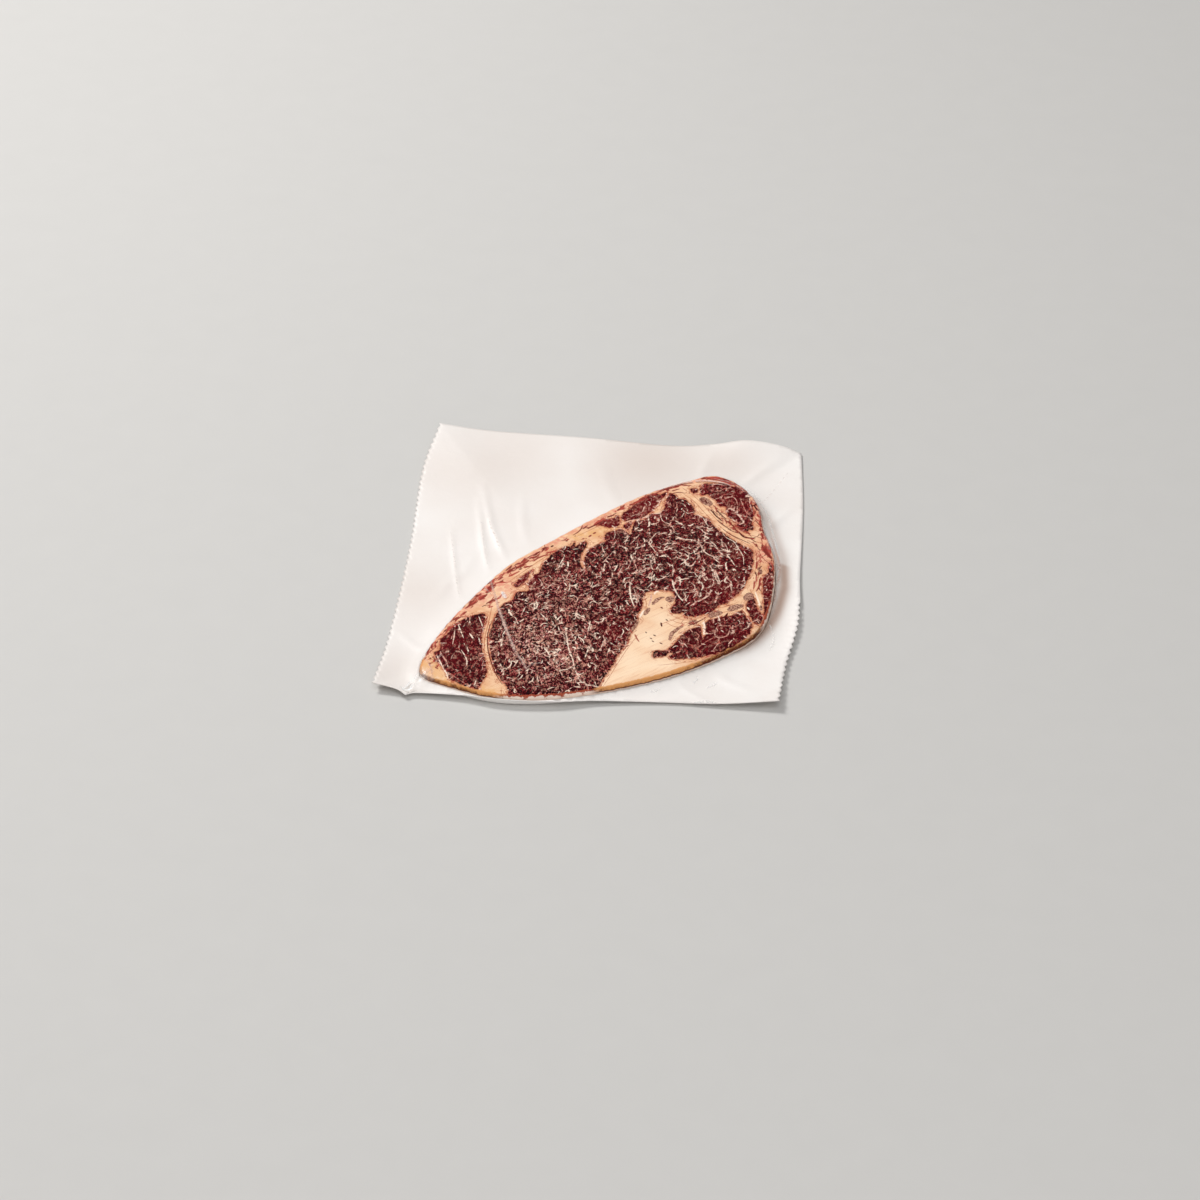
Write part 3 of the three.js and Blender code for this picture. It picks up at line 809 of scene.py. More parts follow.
@dataclass(frozen=True)
class Seams:
    """Streaks drawn one by one, each its points, its width and how pale it is from 0 to 1.

    Attributes:
        eye: White and cream streaks in the large central muscle.
        lobe: Those in its right lobe, with the seam between the two.
        small_muscles: Those in the muscles round it.
        blood: Dark red streaks and nicks in the fat.
        tissue: Grey-brown bands of gristle beside the fat.
        layers: Fine lines in the fat, where its layers meet.
    """

    eye: tuple[Streak, ...] = (
        (((-11.4, -78.2), (-10.1, -84.7), (-8.6, -92.2), (-7.2, -98.6), (-4.5, -105.9), (-2.8, -113.2),
            (-0.9, -118.4), (1.4, -124)), 1.2, 0.8),
        (((-44.3, -65.4), (-42.9, -68.3), (-41.7, -71.6)), 2.1, 0.95),
        (((-30.8, -52.4), (-29, -49.9), (-26.3, -48.3)), 0.9, 0.6),
        (((-12, -42), (-9.7, -40.9), (-8.1, -38.7)), 1.3, 0.9),
        (((-24.6, -44.7), (-23.5, -42.2), (-21.7, -40.5)), 0.9, 0.7),
        (((-30.5, -36), (-28.8, -38.8), (-28, -42.2), (-29.5, -43.6)), 0.7, 0.6),
        (((7.5, -34.3), (8.8, -32.4), (9.7, -35.3), (9.1, -39.5)), 0.8, 0.7),
        (((-0.9, -52.1), (1.3, -53), (3.3, -55.7), (5.5, -56.6)), 0.8, 0.7),
        (((-9, -51.1), (-7.1, -52.7), (-7.1, -55.6), (-8.5, -56.3)), 0.7, 0.6),
        (((-24.6, -59.1), (-23.6, -57.8), (-22.5, -56.9)), 0.7, 0.6),
        (((-6.5, -71), (-6, -68.6), (-5.3, -66.5)), 1, 0.8),
        (((7.2, -70.9), (9.1, -69.6), (10.9, -68.6)), 1, 0.8),
        (((-29.1, -64.4), (-27.3, -64.8), (-25, -65.8)), 0.7, 0.5),
        (((-16.8, -84.7), (-15.1, -86.2), (-13.5, -85.7)), 0.8, 0.6),
        (((-16.8, -89.7), (-14.5, -91.7), (-12.6, -92.1)), 0.8, 0.6),
        (((3.4, -94.3), (2.9, -99.3), (2.1, -104.2)), 1.4, 0.85),
        (((7.2, -108.9), (9.1, -111.1), (8.5, -113.5)), 1, 0.7),
        (((-17.7, -109.8), (-16.7, -111.5), (-15.5, -112.5)), 1, 0.7),
        (((-27.4, -116.3), (-25.2, -117.4), (-23.5, -118.3)), 0.9, 0.7),
        (((-29.9, -121.8), (-30.9, -124.6), (-32.1, -125.9)), 1.2, 0.85),
        (((-26, -127.5), (-24.3, -126), (-23.9, -123.4)), 1.1, 0.8),
        (((-6.7, -125.5), (-4.1, -124.6), (-2.6, -123.2)), 1, 0.8),
        (((-21.2, -122.1), (-19.7, -125.4), (-18.7, -128.7)), 1, 0.45),
        (((-35.5, -115.3), (-34.6, -112.4), (-33.7, -109.6)), 1, 0.7),
        (((-40.4, -119.2), (-40.4, -123.2)), 1.2, 0.7), (((-45.8, -92.3), (-44.3, -96.6)), 1.2, 0.7),
        (((16.5, -97.1), (17.5, -99.6)), 1.2, 0.8), (((-29.1, -131.1), (-27.3, -132.6)), 1, 0.8),
        (((-18.1, -30.1), (-17.2, -33.6), (-15.7, -36.4)), 0.8, 0.6),
        (((-8.1, -28.1), (-6.3, -24.9), (-6, -21.3)), 0.8, 0.6),
        (((-21.3, -36.4), (-19.1, -37.3), (-15.6, -37.3)), 0.7, 0.5),
        (((3.3, -22.3), (4.3, -25.8)), 0.8, 0.6), (((13.8, -60.9), (16, -62.1)), 0.8, 0.6),
        (((-12.9, -63.6), (-10.6, -62.5)), 0.7, 0.5), (((-20, -61.9), (-18.4, -59.7)), 0.7, 0.5),
        (((-31.6, -83.2), (-29, -81.7)), 0.7, 0.5), (((-32.8, -96.5), (-30.7, -97.4)), 0.7, 0.5),
        (((-24.5, -98), (-22.7, -101.1)), 0.8, 0.5), (((-11.6, -103.3), (-8.8, -103.9)), 0.8, 0.5),
        (((-13.1, -115.2), (-10.2, -117.1), (-8.4, -120.7)), 0.8, 0.6),
        (((-18.1, -119.4), (-16.4, -122.4)), 0.8, 0.6), (((-39.9, -106.9), (-40.8, -110.2)), 0.9, 0.6),
        (((-1.4, -95.9), (0.8, -97.9)), 0.8, 0.6), (((10.1, -94.7), (8.7, -98.2)), 0.8, 0.5),
        (((5.1, -85.4), (7.4, -88.5)), 0.8, 0.5), (((10.2, -84.8), (11.6, -89.1), (11.7, -93.5)), 1, 0.45),
        (((-6.3, -87.6), (-7.5, -83.3)), 0.7, 0.5),
    )  # fmt: skip
    lobe: tuple[Streak, ...] = (
        (((31.8, 32.7), (33.4, 26.5), (35.4, 23.9), (38.3, 22.4), (40.4, 18.4), (41.9, 13.5)), 0.8, 0.6),
        (((26.1, 32.6), (29.7, 32.3), (32.6, 33.5)), 1, 0.8),
        (((44.7, 37), (46.7, 35), (48.3, 34.2)), 0.8, 0.8), (((40.9, 26.2), (43.6, 24.2)), 1.2, 0.85),
        (((44.5, 30.7), (45.6, 34.9)), 0.8, 0.8),
        (((51.6, 31.1), (52.5, 33.2), (54.7, 32.9), (56.7, 30.6), (58.4, 26.3), (60.4, 22.5)), 0.9, 0.8),
        (((42.8, 10.5), (45.1, 9.4), (48.5, 8)), 1, 0.8),
        (((49.1, 7.5), (51.5, 8.3), (54.2, 7.2)), 0.9, 0.8),
        (((35.7, 1.8), (38.5, 3.2), (42.7, 3.8)), 0.8, 0.7), (((36.4, 6.9), (40.3, 6.5)), 0.7, 0.6),
        (((26.2, 6), (28.7, 1.4), (31.2, -3.3), (33.7, -8.1)), 0.9, 0.75),
        (((30.8, -7.2), (32.2, -11.6), (33.1, -16.5)), 0.9, 0.7),
        (((30.6, -12.9), (30.8, -17.6), (32.1, -22.2)), 1.2, 0.75),
        (((31.1, -29.8), (33.2, -28.8), (33.5, -26.5)), 1.4, 0.85),
        (((46.3, 1.9), (48, 0.4), (49.7, -0.4)), 0.9, 0.7),
        (((48.7, -3), (50.2, -4.3), (51.8, -4.8)), 0.9, 0.7),
        (((49.1, -11.3), (50.5, -15.9), (52.7, -17.1), (54.8, -15.5)), 1.1, 0.8),
        (((52, -22.2), (53.7, -23.1), (55.4, -22.9)), 0.9, 0.7),
        (((52.4, -27.4), (54.8, -26.4), (57.1, -27.2)), 0.9, 0.7),
        (((42.8, -16.6), (43.7, -22.4), (43.7, -27)), 1.2, 0.7),
        (((43.6, -30.7), (45.2, -37.3), (47.8, -43.9), (51.1, -49.5)), 1.4, 0.9),
        (((57.6, 17.5), (59.5, 15.2), (63.2, 14.9)), 0.9, 0.7),
        (((62.3, 8.4), (65.2, 4.8), (67.5, -0.1)), 1, 0.8),
        (((56.7, 5.1), (60.1, -3), (66.1, -7.2), (69.7, -8.7)), 1, 0.75),
        (((65, -7.3), (67.6, -10.6), (68.9, -11.9)), 1.2, 0.85),
        (((68.6, 17.4), (71.1, 12.7), (75.5, 9.5), (78.8, 2.6), (81.7, -4.3), (82.5, -11.7)), 1, 0.8),
        (((72.1, -3), (75.3, -8.6), (77.5, -13.4)), 1.2, 0.9),
        (((76.9, -16.7), (77.7, -17.8), (78.4, -18.3)), 3, 0.95),
        (((66.9, -18.9), (68.7, -24.6), (70.5, -30.5)), 1.2, 0.75),
        (((66.9, -14.2), (68.7, -14.8), (70.9, -14.3)), 1.5, 0.8),
        (((60, -31), (61.4, -35.1), (60.6, -38.8)), 1.5, 0.95),
        (((53.8, -31.9), (56.1, -33.9), (56.9, -37.3), (55.4, -39.7)), 0.9, 0.6),
        (((46.1, -31.7), (49.6, -31.8)), 0.9, 0.7), (((47.4, -38.9), (51.6, -39), (53.5, -36.5)), 0.8, 0.6),
        (((52.4, -41.4), (55.9, -40.6), (57.7, -37.2)), 0.8, 0.6),
        (((62.7, -28.7), (65.9, -27.7), (67, -30.6), (66.2, -34.7)), 0.9, 0.6),
        (((76.1, -30.8), (77.1, -35.3), (77.7, -39)), 0.9, 0.6),
        (((73.5, -36.8), (74.6, -34.4), (75.6, -32.9)), 0.9, 0.6),
        (((66.2, -38.7), (64.4, -43.5), (61.2, -47.2), (58.6, -49.7), (55.4, -53.6)), 2, 0.5),
        (((70.2, -38.9), (69.5, -45.2), (69, -48.9)), 2.2, 0.45),
        (((21.2, -34.6), (19.3, -35.2), (18, -37.5), (18.6, -40.9)), 1, 0.7),
        (((20.7, -34.9), (20.9, -40.7), (22, -47.5), (23.6, -53.6), (25.4, -58.3)), 1.5, 0.9),
        (((26.2, -40.2), (28.1, -41.8), (29.7, -44.5)), 0.8, 0.6),
        (((21.9, -18.3), (23.4, -22.9), (23.3, -26.7)), 0.8, 0.6),
        (((18.1, -23.4), (19, -18.6), (19.5, -14)), 1, 0.6), (((16.9, -23.5), (18.7, -21.9)), 1, 0.7),
        (((4.9, -18.6), (4.9, -24.8)), 0.9, 0.7),
        (((7.5, -34.2), (9.2, -34.5), (10, -37.3), (8.5, -39.3)), 0.9, 0.7),
        (((10.5, -31.1), (9.6, -25.9)), 0.9, 0.6),
        (((13.4, -29.7), (14.1, -25.5), (15.2, -20.1)), 0.8, 0.6),
        (((17.4, 0.5), (18.9, 3.6), (20, 5.5)), 0.8, 0.6), (((13.3, 6.8), (16.7, 8.3)), 0.8, 0.6),
        (((25.7, 12.1), (28.1, 13)), 0.9, 0.7), (((32.4, 12.1), (34.8, 12.9)), 0.8, 0.6),
        (((39.5, -1.4), (42.1, -3)), 0.8, 0.6), (((39.4, -8.6), (41.8, -12)), 0.8, 0.6),
        (((33.1, -0.7), (30.2, -0.3)), 0.8, 0.6), (((1.6, -0.8), (2.9, -6.8), (5, -10.2)), 0.9, 0.6),
        (((70.8, 6.6), (72.5, 1.9)), 0.8, 0.6), (((56.4, -20), (58.7, -22.1)), 0.8, 0.6),
        (((59.2, -10.3), (61.7, -14.8)), 0.8, 0.6), (((63.4, -14.6), (65.9, -20.2)), 0.9, 0.6),
        (((21.6, 43.1), (23.6, 40.8), (21.6, 34.9)), 0.8, 0.5), (((36.6, 44.5), (37.6, 40.8)), 0.8, 0.5),
        (((41.4, 38.6), (41, 34.8)), 0.8, 0.7), (((72.3, -16), (73.8, -18.2)), 0.8, 0.5),
        (((44.9, -6.9), (46.8, -9.1)), 0.8, 0.6), (((36, -19.5), (38.3, -21.7)), 0.8, 0.6),
        (((25.7, -13.3), (27.4, -16.7)), 0.8, 0.6),
        (((24.4, -22.9), (26.2, -27.4), (28.4, -28.4)), 0.8, 0.6),
        (((39.6, -28.6), (36.7, -27.6)), 0.8, 0.6), (((58.3, -26.8), (57.9, -30.3)), 0.9, 0.6),
        (((35, -44.5), (35.5, -42.8), (36.8, -41.7)), 2.2, 0.95),
        (((64.3, -16.4), (66.4, -20.7), (67.9, -27), (70, -31.4)), 0.9, 0.7),
        (((22.9, -40), (25.4, -48), (28.2, -56)), 0.8, 0.5), (((17.5, -31), (17.1, -36)), 0.9, 0.7),
    )  # fmt: skip
    small_muscles: tuple[Streak, ...] = (
        (((13.2, 25), (16.4, 29.3), (19.6, 31.8), (21.8, 34.3), (22.1, 38.6), (23.6, 42)), 0.8, 0.5),
        (((12, 22), (16.4, 25), (20.7, 26.4), (23.6, 28.6), (25.7, 31.4), (30.7, 33.6),
            (33.6, 36.4)), 1.0, 0.6),
        (((29.3, 38), (30.7, 44.3), (33.6, 49.3), (34.3, 53.6)), 0.9, 0.6),
        (((70.5, 41.9), (73.1, 40.8), (76.7, 35.6), (79.1, 31.1), (79.8, 28.5), (77.3, 26.4)), 2.0, 0.6),
        (((75.5, 44.7), (76, 37.4), (80.4, 35), (84.6, 34.1)), 1.0, 0.4),
        (((76.5, 52.2), (78.5, 45.9), (80.5, 39.7), (81.7, 38)), 1.0, 0.35),
        (((66.3, 48.5), (68.7, 52.4), (72.2, 53.7), (74.5, 50.2), (75.3, 45.7)), 1.0, 0.4),
        (((61.8, 61), (64.5, 59.4), (67.4, 62.5), (71.6, 62.1)), 0.9, 0.3),
        (((81.6, 53.6), (82.7, 46.4), (84.2, 40.1)), 1.3, 0.5),
        (((57.8, 65.2), (62.4, 66.1), (67.2, 65.1)), 1.0, 0.7),
        (((58.2, 60), (62, 58.5), (66, 60.5)), 0.8, 0.35), (((64, 52), (67.5, 56), (72, 56.5)), 0.8, 0.35),
        (((71.4, -70.7), (70.7, -75.7), (72, -79.3), (76.4, -78.6), (78.2, -75.7),
            (78.6, -70.7)), 1.2, 0.4),
        (((65.4, -77.5), (70, -76.2)), 1.0, 0.45), (((70.9, -79.4), (66.5, -84), (62, -90)), 0.8, 0.3),
        (((78.6, -70.7), (82.5, -68), (86, -65)), 0.8, 0.3), (((80.6, -81), (78.8, -84.5)), 1.3, 0.6),
        (((70.6, -92), (72.3, -87), (74, -84)), 0.8, 0.4),
        (((87.6, -64), (88.8, -67.5), (87.4, -70.5)), 1.4, 0.7),
        (((64, -66), (64.8, -72), (64.8, -78)), 2.0, 1.0),
        (((30.4, -59.6), (29.4, -63), (28.9, -66.4)), 2.2, 0.9),
        (((33.2, -44.6), (33.4, -50), (32.6, -56)), 2.0, 0.55), (((55, -80), (57.6, -83.4)), 0.8, 0.3),
        (((60, -76), (62.4, -79.2), (60.6, -83)), 0.8, 0.3),
        (((-70.5, -79.5), (-68.9, -84.3), (-65.6, -93.1)), 1.0, 0.9),
        (((-62.9, -88.6), (-60.2, -93.4)), 1.8, 0.95), (((-57.3, -92.5), (-55.6, -98.2)), 1.3, 0.9),
        (((-62.9, -100.5), (-61.4, -105)), 1.4, 0.95),
        (((-65.6, -103.7), (-62.9, -108.6), (-61.1, -113.6), (-61.4, -117.7)), 1.1, 0.8),
        (((-59.7, -73), (-56.6, -81.7), (-55.5, -86.5)), 1.0, 0.8),
        (((-71.3, -86), (-70.9, -93.4), (-70.9, -99.2)), 1.1, 0.6),
        (((-54.9, -133.3), (-54.5, -128.4)), 1.3, 0.8),
        (((-76.2, -107.3), (-73, -112.9), (-70.8, -118.6)), 1.7, 0.5),
        (((-78.6, -108.3), (-75.2, -115.8), (-71.2, -123.6), (-69.6, -128.5)), 1.4, 0.8),
        (((-70.4, -122.6), (-64.1, -128.2), (-57.4, -133.4)), 0.9, 0.2),
        (((87, -51), (88.2, -53.2)), 1.9, 0.95), (((90.5, -36.5), (92.4, -43), (94, -49.5)), 1.7, 1.0),
        (((70.5, -54.5), (71.5, -60), (73.2, -66.5)), 1.3, 0.9),
    )  # fmt: skip
    blood: tuple[Streak, ...] = (
        (((-43.2, -26), (-41.2, -23)), 1.6, 0.6), (((-36, -14), (-32.5, -9.5)), 1.4, 0.7),
        (((-49, -31), (-45, -26)), 1.4, 0.6), (((-58, -49), (-54, -42.5)), 1.6, 0.6),
        (((-61, -58), (-57.5, -52)), 1.7, 0.5), (((-66, -64), (-62, -59)), 1.3, 0.5),
        (((-84.5, -98), (-83.6, -104), (-84.2, -110)), 1.6, 0.5), (((-81.5, -90), (-82.5, -96)), 1.4, 0.5),
        (((-78, -82), (-76, -76)), 1.3, 0.5), (((-6.5, 6.5), (-5.4, 8.6)), 1.3, 0.5),
        (((-4.4, 9.6), (-3, 11.6)), 1.3, 0.5), (((-10, 3.8), (-9, 5)), 1.1, 0.5),
        (((60, 40), (64.2, 33.3), (68.3, 28.3)), 0.9, 1.0),
        (((62.4, 42), (66.4, 35.6), (70, 31)), 0.8, 1.0), (((58, 45.6), (56.4, 49.4)), 0.9, 1.0),
        (((64.6, 30), (69, 24.6), (73.4, 20.6)), 0.7, 0.9),
        (((77.5, 20), (80.8, 15), (85, 14.2), (87.5, 15)), 1.2, 1.0),
        (((68, 22), (73, 16.5), (79, 12.4), (85, 8.6)), 0.7, 0.8),
        (((93, 7), (94.4, 3.4), (95.8, 0)), 1.6, 0.6), (((90.5, 20), (92, 14)), 1.3, 0.5),
        (((40.6, -69.2), (41.4, -72.8)), 1.0, 1.0), (((37.4, -80.2), (38.7, -81.3)), 0.9, 1.0),
        (((35.8, -83.2), (37, -84.1)), 0.8, 1.0), (((36.9, -85.5), (38.2, -86.5)), 0.7, 1.0),
        (((41.2, -86.7), (42.9, -87.9)), 0.8, 1.0), (((43, -66.2), (44.3, -67.5)), 0.8, 1.0),
        (((32.9, -78), (33.5, -79.2)), 0.7, 1.0), (((39.4, -55.8), (40.6, -57)), 1.1, 0.8),
        (((44.8, -56), (46, -56.9)), 1.0, 0.8), (((27.4, -80.8), (28.7, -84.4), (30.3, -87.4)), 0.6, 0.35),
        (((-55.9, -76), (-56.5, -88), (-55.6, -98)), 0.5, 0.8),
        (((-51.9, -76), (-52.9, -88), (-51.5, -100), (-48.6, -111), (-44, -123), (-40, -130.4)), 0.6, 0.9),
        (((35, 52), (40, 55.6), (45, 55)), 0.8, 0.7), (((36.4, 56.6), (41, 59.4)), 1.0, 0.6),
        (((76.6, -57.5), (75.2, -61), (72.5, -63)), 1.4, 1.0),
        (((91.3, 6.5), (94.6, 1), (97.9, -4.6)), 2.2, 0.7), (((89.6, -8), (89.9, -15)), 1.2, 0.4),
        (((91, -36), (92.5, -30), (92, -24)), 1.0, 0.5),
        (((63.6, -64), (60, -67.6), (55.4, -71)), 0.8, 0.8), (((-78, -119), (-76, -120.5)), 0.9, 0.5),
        (((-82, -116), (-79.6, -115.6)), 0.8, 0.5),
    )  # fmt: skip
    tissue: tuple[Streak, ...] = (
        (((46.6, -84.6), (47.4, -78.6), (50.4, -74), (53, -71.4)), 2.6, 1.0),
        (((56, -69.4), (58.6, -67.4), (60.6, -66)), 4.0, 1.0),
        (((66.2, -61.8), (69.4, -59), (73.6, -56.4)), 4.8, 1.0),
        (((76.4, -55), (80, -52), (84.6, -49.4)), 4.8, 1.0),
        (((85.4, -44.6), (87.4, -40.6), (87.4, -37.4)), 5.4, 1.0), (((91.6, -14), (92.6, -20)), 2.4, 1.0),
        (((43.6, -45.6), (43.9, -48.2), (43, -50.6)), 5.2, 1.0),
        (((40.8, -46.6), (37.6, -48.6), (35.6, -52), (34.6, -54.4)), 2.6, 1.0),
        (((33.4, -57), (32.2, -60), (31, -64)), 2.8, 1.0),
        (((28.4, -69), (26.9, -73.5), (25.2, -78), (23.6, -82.4)), 2.2, 1.0),
        (((22, -86), (20, -93), (17.4, -102)), 0.9, 0.5),
        (((54, 51.6), (56.8, 48), (60.6, 44.2)), 5.6, 1.0), (((-34, -45.4), (-33, -42)), 1.2, 0.5),
        (((94.4, -48.4), (94.8, -53)), 1.6, 0.6),
    )  # fmt: skip
    layers: tuple[Streak, ...] = (
        (((46, -62.6), (53, -66), (60, -64), (65, -60.4)), 0.5, 1.0),
        (((44.6, -65.4), (51, -69), (57.4, -66.4), (62.4, -62)), 0.5, 1.0),
        (((43.8, -69.4), (49, -72.4), (55.4, -70.4)), 0.5, 1.0),
        (((64, -57.4), (70, -53.8), (77, -50.6), (82.4, -46)), 0.5, 1.0),
        (((66.6, -60.4), (73, -57.2), (80, -55)), 0.5, 1.0),
        (((-50, -98), (-49.6, -108), (-46, -120)), 0.5, 0.8),
        (((-53.6, -62), (-53.6, -76), (-54, -92), (-52.6, -106)), 0.6, 0.8),
        (((42, 56), (50, 47.6), (56, 38), (62.6, 28)), 0.5, 0.8),
        (((46, 57.4), (54, 47), (60, 37), (68, 24.6)), 0.5, 0.8),
        (((70, 18.8), (78, 12), (85, 6)), 0.5, 0.8), (((88, 4), (89.6, -8), (89, -20)), 0.5, 0.8),
        (((90.6, 2), (91.6, -10), (91, -26), (89, -36)), 0.5, 0.8),
        (((87.4, -34), (88.8, -38), (91.4, -40)), 0.5, 0.8),
        (((28.8, -46), (31, -52), (31.4, -60)), 0.5, 0.8),
        (((27, -81), (28.6, -84.6), (30.2, -87.4)), 0.8, 0.8),
        (((40, -71), (47, -66.5), (52, -62.6)), 0.5, 0.8),
        (((60, -101.6), (52, -104), (42, -106.6)), 0.4, 0.4),
        (((-46, -52), (-38, -42), (-30, -30), (-22, -16)), 0.5, 0.7),
        (((-50, -44), (-40, -30), (-30, -16), (-20, -4)), 0.5, 0.7),
        (((-14, 6), (-6, 14), (4, 24)), 0.5, 0.7), (((93.4, -60), (88.6, -68), (91, -70)), 0.4, 0.5),
        (((29.4, -80), (25, -92), (20.6, -106), (15.8, -122), (13.6, -128)), 0.4, 0.8),
    )  # fmt: skip


@dataclass(frozen=True)
class Grain:
    """How the fine streaks of marbling lie.

    Attributes:
        guides: Places with the direction of the streaks there in degrees from +X.
        swirl: Centre and radius of the whorl in the right lobe.
        near: Distance within which a guide's pull grows no more.
    """

    guides: Places = (
        (-34, -66, 38), (-18, -50, 20), (-38, -96, 72), (-30, -120, 60), (-10, -126, 35),
        (-12, -90, -20), (4, -108, -62), (10, -80, -70), (6, -56, 10), (-20, -20, 55),
        (6, -30, 62), (20, -10, 60), (14, 6, 50), (34, 8, 10), (38, -10, 4), (34, -28, 12),
        (40, 36, 60), (52, 20, -35), (58, 4, -42), (54, -12, -18), (70, 8, -48), (80, -10, -82),
        (72, -22, -62), (78, -38, 58), (62, -50, 38), (-66, -100, 80), (-62, -122, 60),
        (20, 38, 50), (72, 52, 30), (78, 34, 70), (60, -88, 38), (78, -76, 50), (90, -54, 60),
    )  # fmt: skip
    swirl: tuple[float, float, float] = (50.7, -37.0, 9.0)
    near: float = 3.0

    def angle(self, x: float, y: float) -> float:
        """Direction of the streaks at a place.

        Args:
            x: The place's x on the drawing.
            y: Its y.

        Returns:
            The direction in radians.
        """
        sx, sy, radius = self.swirl
        if math.hypot(x - sx, y - sy) < radius:
            return math.atan2(y - sy, x - sx) + math.pi / 2
        across, along = 0.0, 0.0
        for gx, gy, degrees in self.guides:
            pull = 1 / (self.near**2 + (x - gx) ** 2 + (y - gy) ** 2) ** 1.5
            across += pull * math.cos(2 * math.radians(degrees))
            along += pull * math.sin(2 * math.radians(degrees))
        return 0.5 * math.atan2(along, across)


@dataclass(frozen=True)
class Band:
    """Red streaks scattered in the fat on both sides of a line, and along it.

    Attributes:
        places: The line's points.
        half: Half the band's width.
        count: Number of streaks.
        length: Usual length in millimetres.
        width: Usual width in millimetres.
        stray: How far a streak turns from the line, in radians.
        bend: How far it turns at each of its points.
        uneven: How much the lengths differ.
        steps: Straight stretches of a streak.
    """

    places: Places
    half: float
    count: int
    length: float
    width: float = 0.7
    stray: float = 0.22
    bend: float = 0.2
    uneven: float = 0.5
    steps: int = 3

    def scatter(self, draw: random.Random) -> list[Streak]:
        """Draws the band's streaks.

        Args:
            draw: Source of chance.

        Returns:
            The streaks, each its points, width and depth of colour.
        """
        line = smooth_curve(self.places, False, 12)
        made = []
        for _ in range(self.count):
            i = draw.randrange(len(line) - 2)
            along = line[i + 1] - line[i]
            along = along / np.hypot(*along)
            aside = draw.uniform(-self.half, self.half)
            points = [tuple(line[i] + np.array([-along[1], along[0]]) * aside)]
            turn = math.atan2(along[1], along[0]) + draw.gauss(0, self.stray)
            run = self.length * math.exp(draw.gauss(0, self.uneven))
            bend = draw.gauss(0, self.bend)
            for step in range(self.steps):
                x, y = points[-1]
                angle, part = turn + bend * step, run / self.steps
                points.append((x + math.cos(angle) * part, y + math.sin(angle) * part))
            width = self.width * (0.7 + 1.3 * draw.random() ** 2)
            made.append((tuple(points), width, draw.random() ** 1.5))
        return made


@dataclass(frozen=True)
class Fringe:
    """Short strokes along the border between lean and fat.

    Attributes:
        chance: Chance of a stroke at each place.
        off: Distance from its start out to the lean, or the least and the greatest one.
        inward: Whether it heads into the lean, and not along the border.
        stray: How far its heading strays, in radians.
        run: Least and greatest length.
        bow: How far its middle strays.
        width: Least and greatest width.
        strength: Least and greatest paleness or depth of colour.
    """

    chance: float
    off: tuple[float, ...]
    inward: bool
    stray: float
    run: tuple[float, float]
    bow: float
    width: tuple[float, float]
    strength: tuple[float, float]

    def strokes(
        self, place: np.ndarray, ahead: np.ndarray, away: np.ndarray, draw: random.Random
    ) -> list[Streak]:
        """Draws the stroke that starts at a place, if there is one.

        Args:
            place: The place on the border.
            ahead: Direction along the border.
            away: Direction out of the lean.
            draw: Source of chance.

        Returns:
            One stroke or none.
        """
        if draw.random() >= self.chance:
            return []
        start = place + away * (draw.uniform(*self.off) if len(self.off) > 1 else self.off[0])
        towards, across = (-away, ahead) if self.inward else (ahead, away)
        heading = math.atan2(towards[1], towards[0]) + draw.gauss(0, self.stray)
        run = draw.uniform(*self.run)
        end = start + np.array([math.cos(heading), math.sin(heading)]) * run
        bow = (start + end) / 2 + across * draw.gauss(0, self.bow)
        points = (tuple(start), tuple(bow), tuple(end))
        return [(points, draw.uniform(*self.width), draw.uniform(*self.strength))]


@dataclass(frozen=True)
class Marbling:
    """Fine streaks of fat scattered through one muscle.

    Attributes:
        loop: Which of the cut face's muscles.
        crowd: Streaks on a square centimetre.
        length: Usual length in millimetres.
        width: Usual width in millimetres.
        pale: Usual paleness from 0 to 1.
        near: Place and distance beyond which the streaks grow sparse.
        spread: How far a streak turns from the grain, in degrees.
        stretch: How much longer a streak is along Y than along X.
        uneven: How much lengths, widths and palenesses differ.
        bend: How far a streak bends from end to end, in radians.
        kink: How far it turns at each of its points.
        step: Distance between these.
        room: Least depth of a streak's start in the lean.
    """

    loop: int
    crowd: float
    length: float
    width: float
    pale: float
    near: tuple[float, float, float] = (0.0, 0.0, 1000.0)
    spread: float = 35.0
    stretch: float = 1.5
    uneven: tuple[float, float, float] = (0.45, 0.3, 0.2)
    bend: float = 0.55
    kink: float = 0.22
    step: float = 1.4
    room: float = 0.7

    def scatter(self, outline: np.ndarray, grain: Grain, draw: random.Random) -> list[Streak]:
        """Draws the muscle's streaks.

        Args:
            outline: The muscle's closed outline.
            grain: How streaks lie.
            draw: Source of chance.

        Returns:
            The streaks, each its points, width and paleness.
        """
        low, high = outline.min(0), outline.max(0)
        count = int(self.crowd * np.prod(high - low) / 100)
        starts = np.array(
            [[draw.uniform(low[0], high[0]), draw.uniform(low[1], high[1])] for _ in range(count)]
        )
        starts = starts[depth_in(starts, outline, 3.0) > self.room]
        long, wide, light = self.uneven
        made = []
        for x, y in starts.tolist():
            nx, ny, reach = self.near
            if draw.random() > math.exp(-(((x - nx) ** 2 + (y - ny) ** 2) / reach**2)):
                continue
            length = self.length * math.exp(draw.gauss(0, long))
            width = self.width * math.exp(draw.gauss(0, wide))
            turn = grain.angle(x, y) + math.radians(draw.gauss(0, self.spread))
            bend = draw.gauss(0, self.bend)
            steps = 3 + int(length / self.step)
            points = [(x, y)]
            for _ in range(steps):
                turn += bend / steps * 2 + draw.gauss(0, self.kink)
                x += math.cos(turn) * length / steps
                y += math.sin(turn) * length / steps * self.stretch
                points.append((x, y))
            pale = min(1.0, max(0.0, draw.gauss(self.pale, light)))
            made.append((tuple(points), width, pale))
        return made


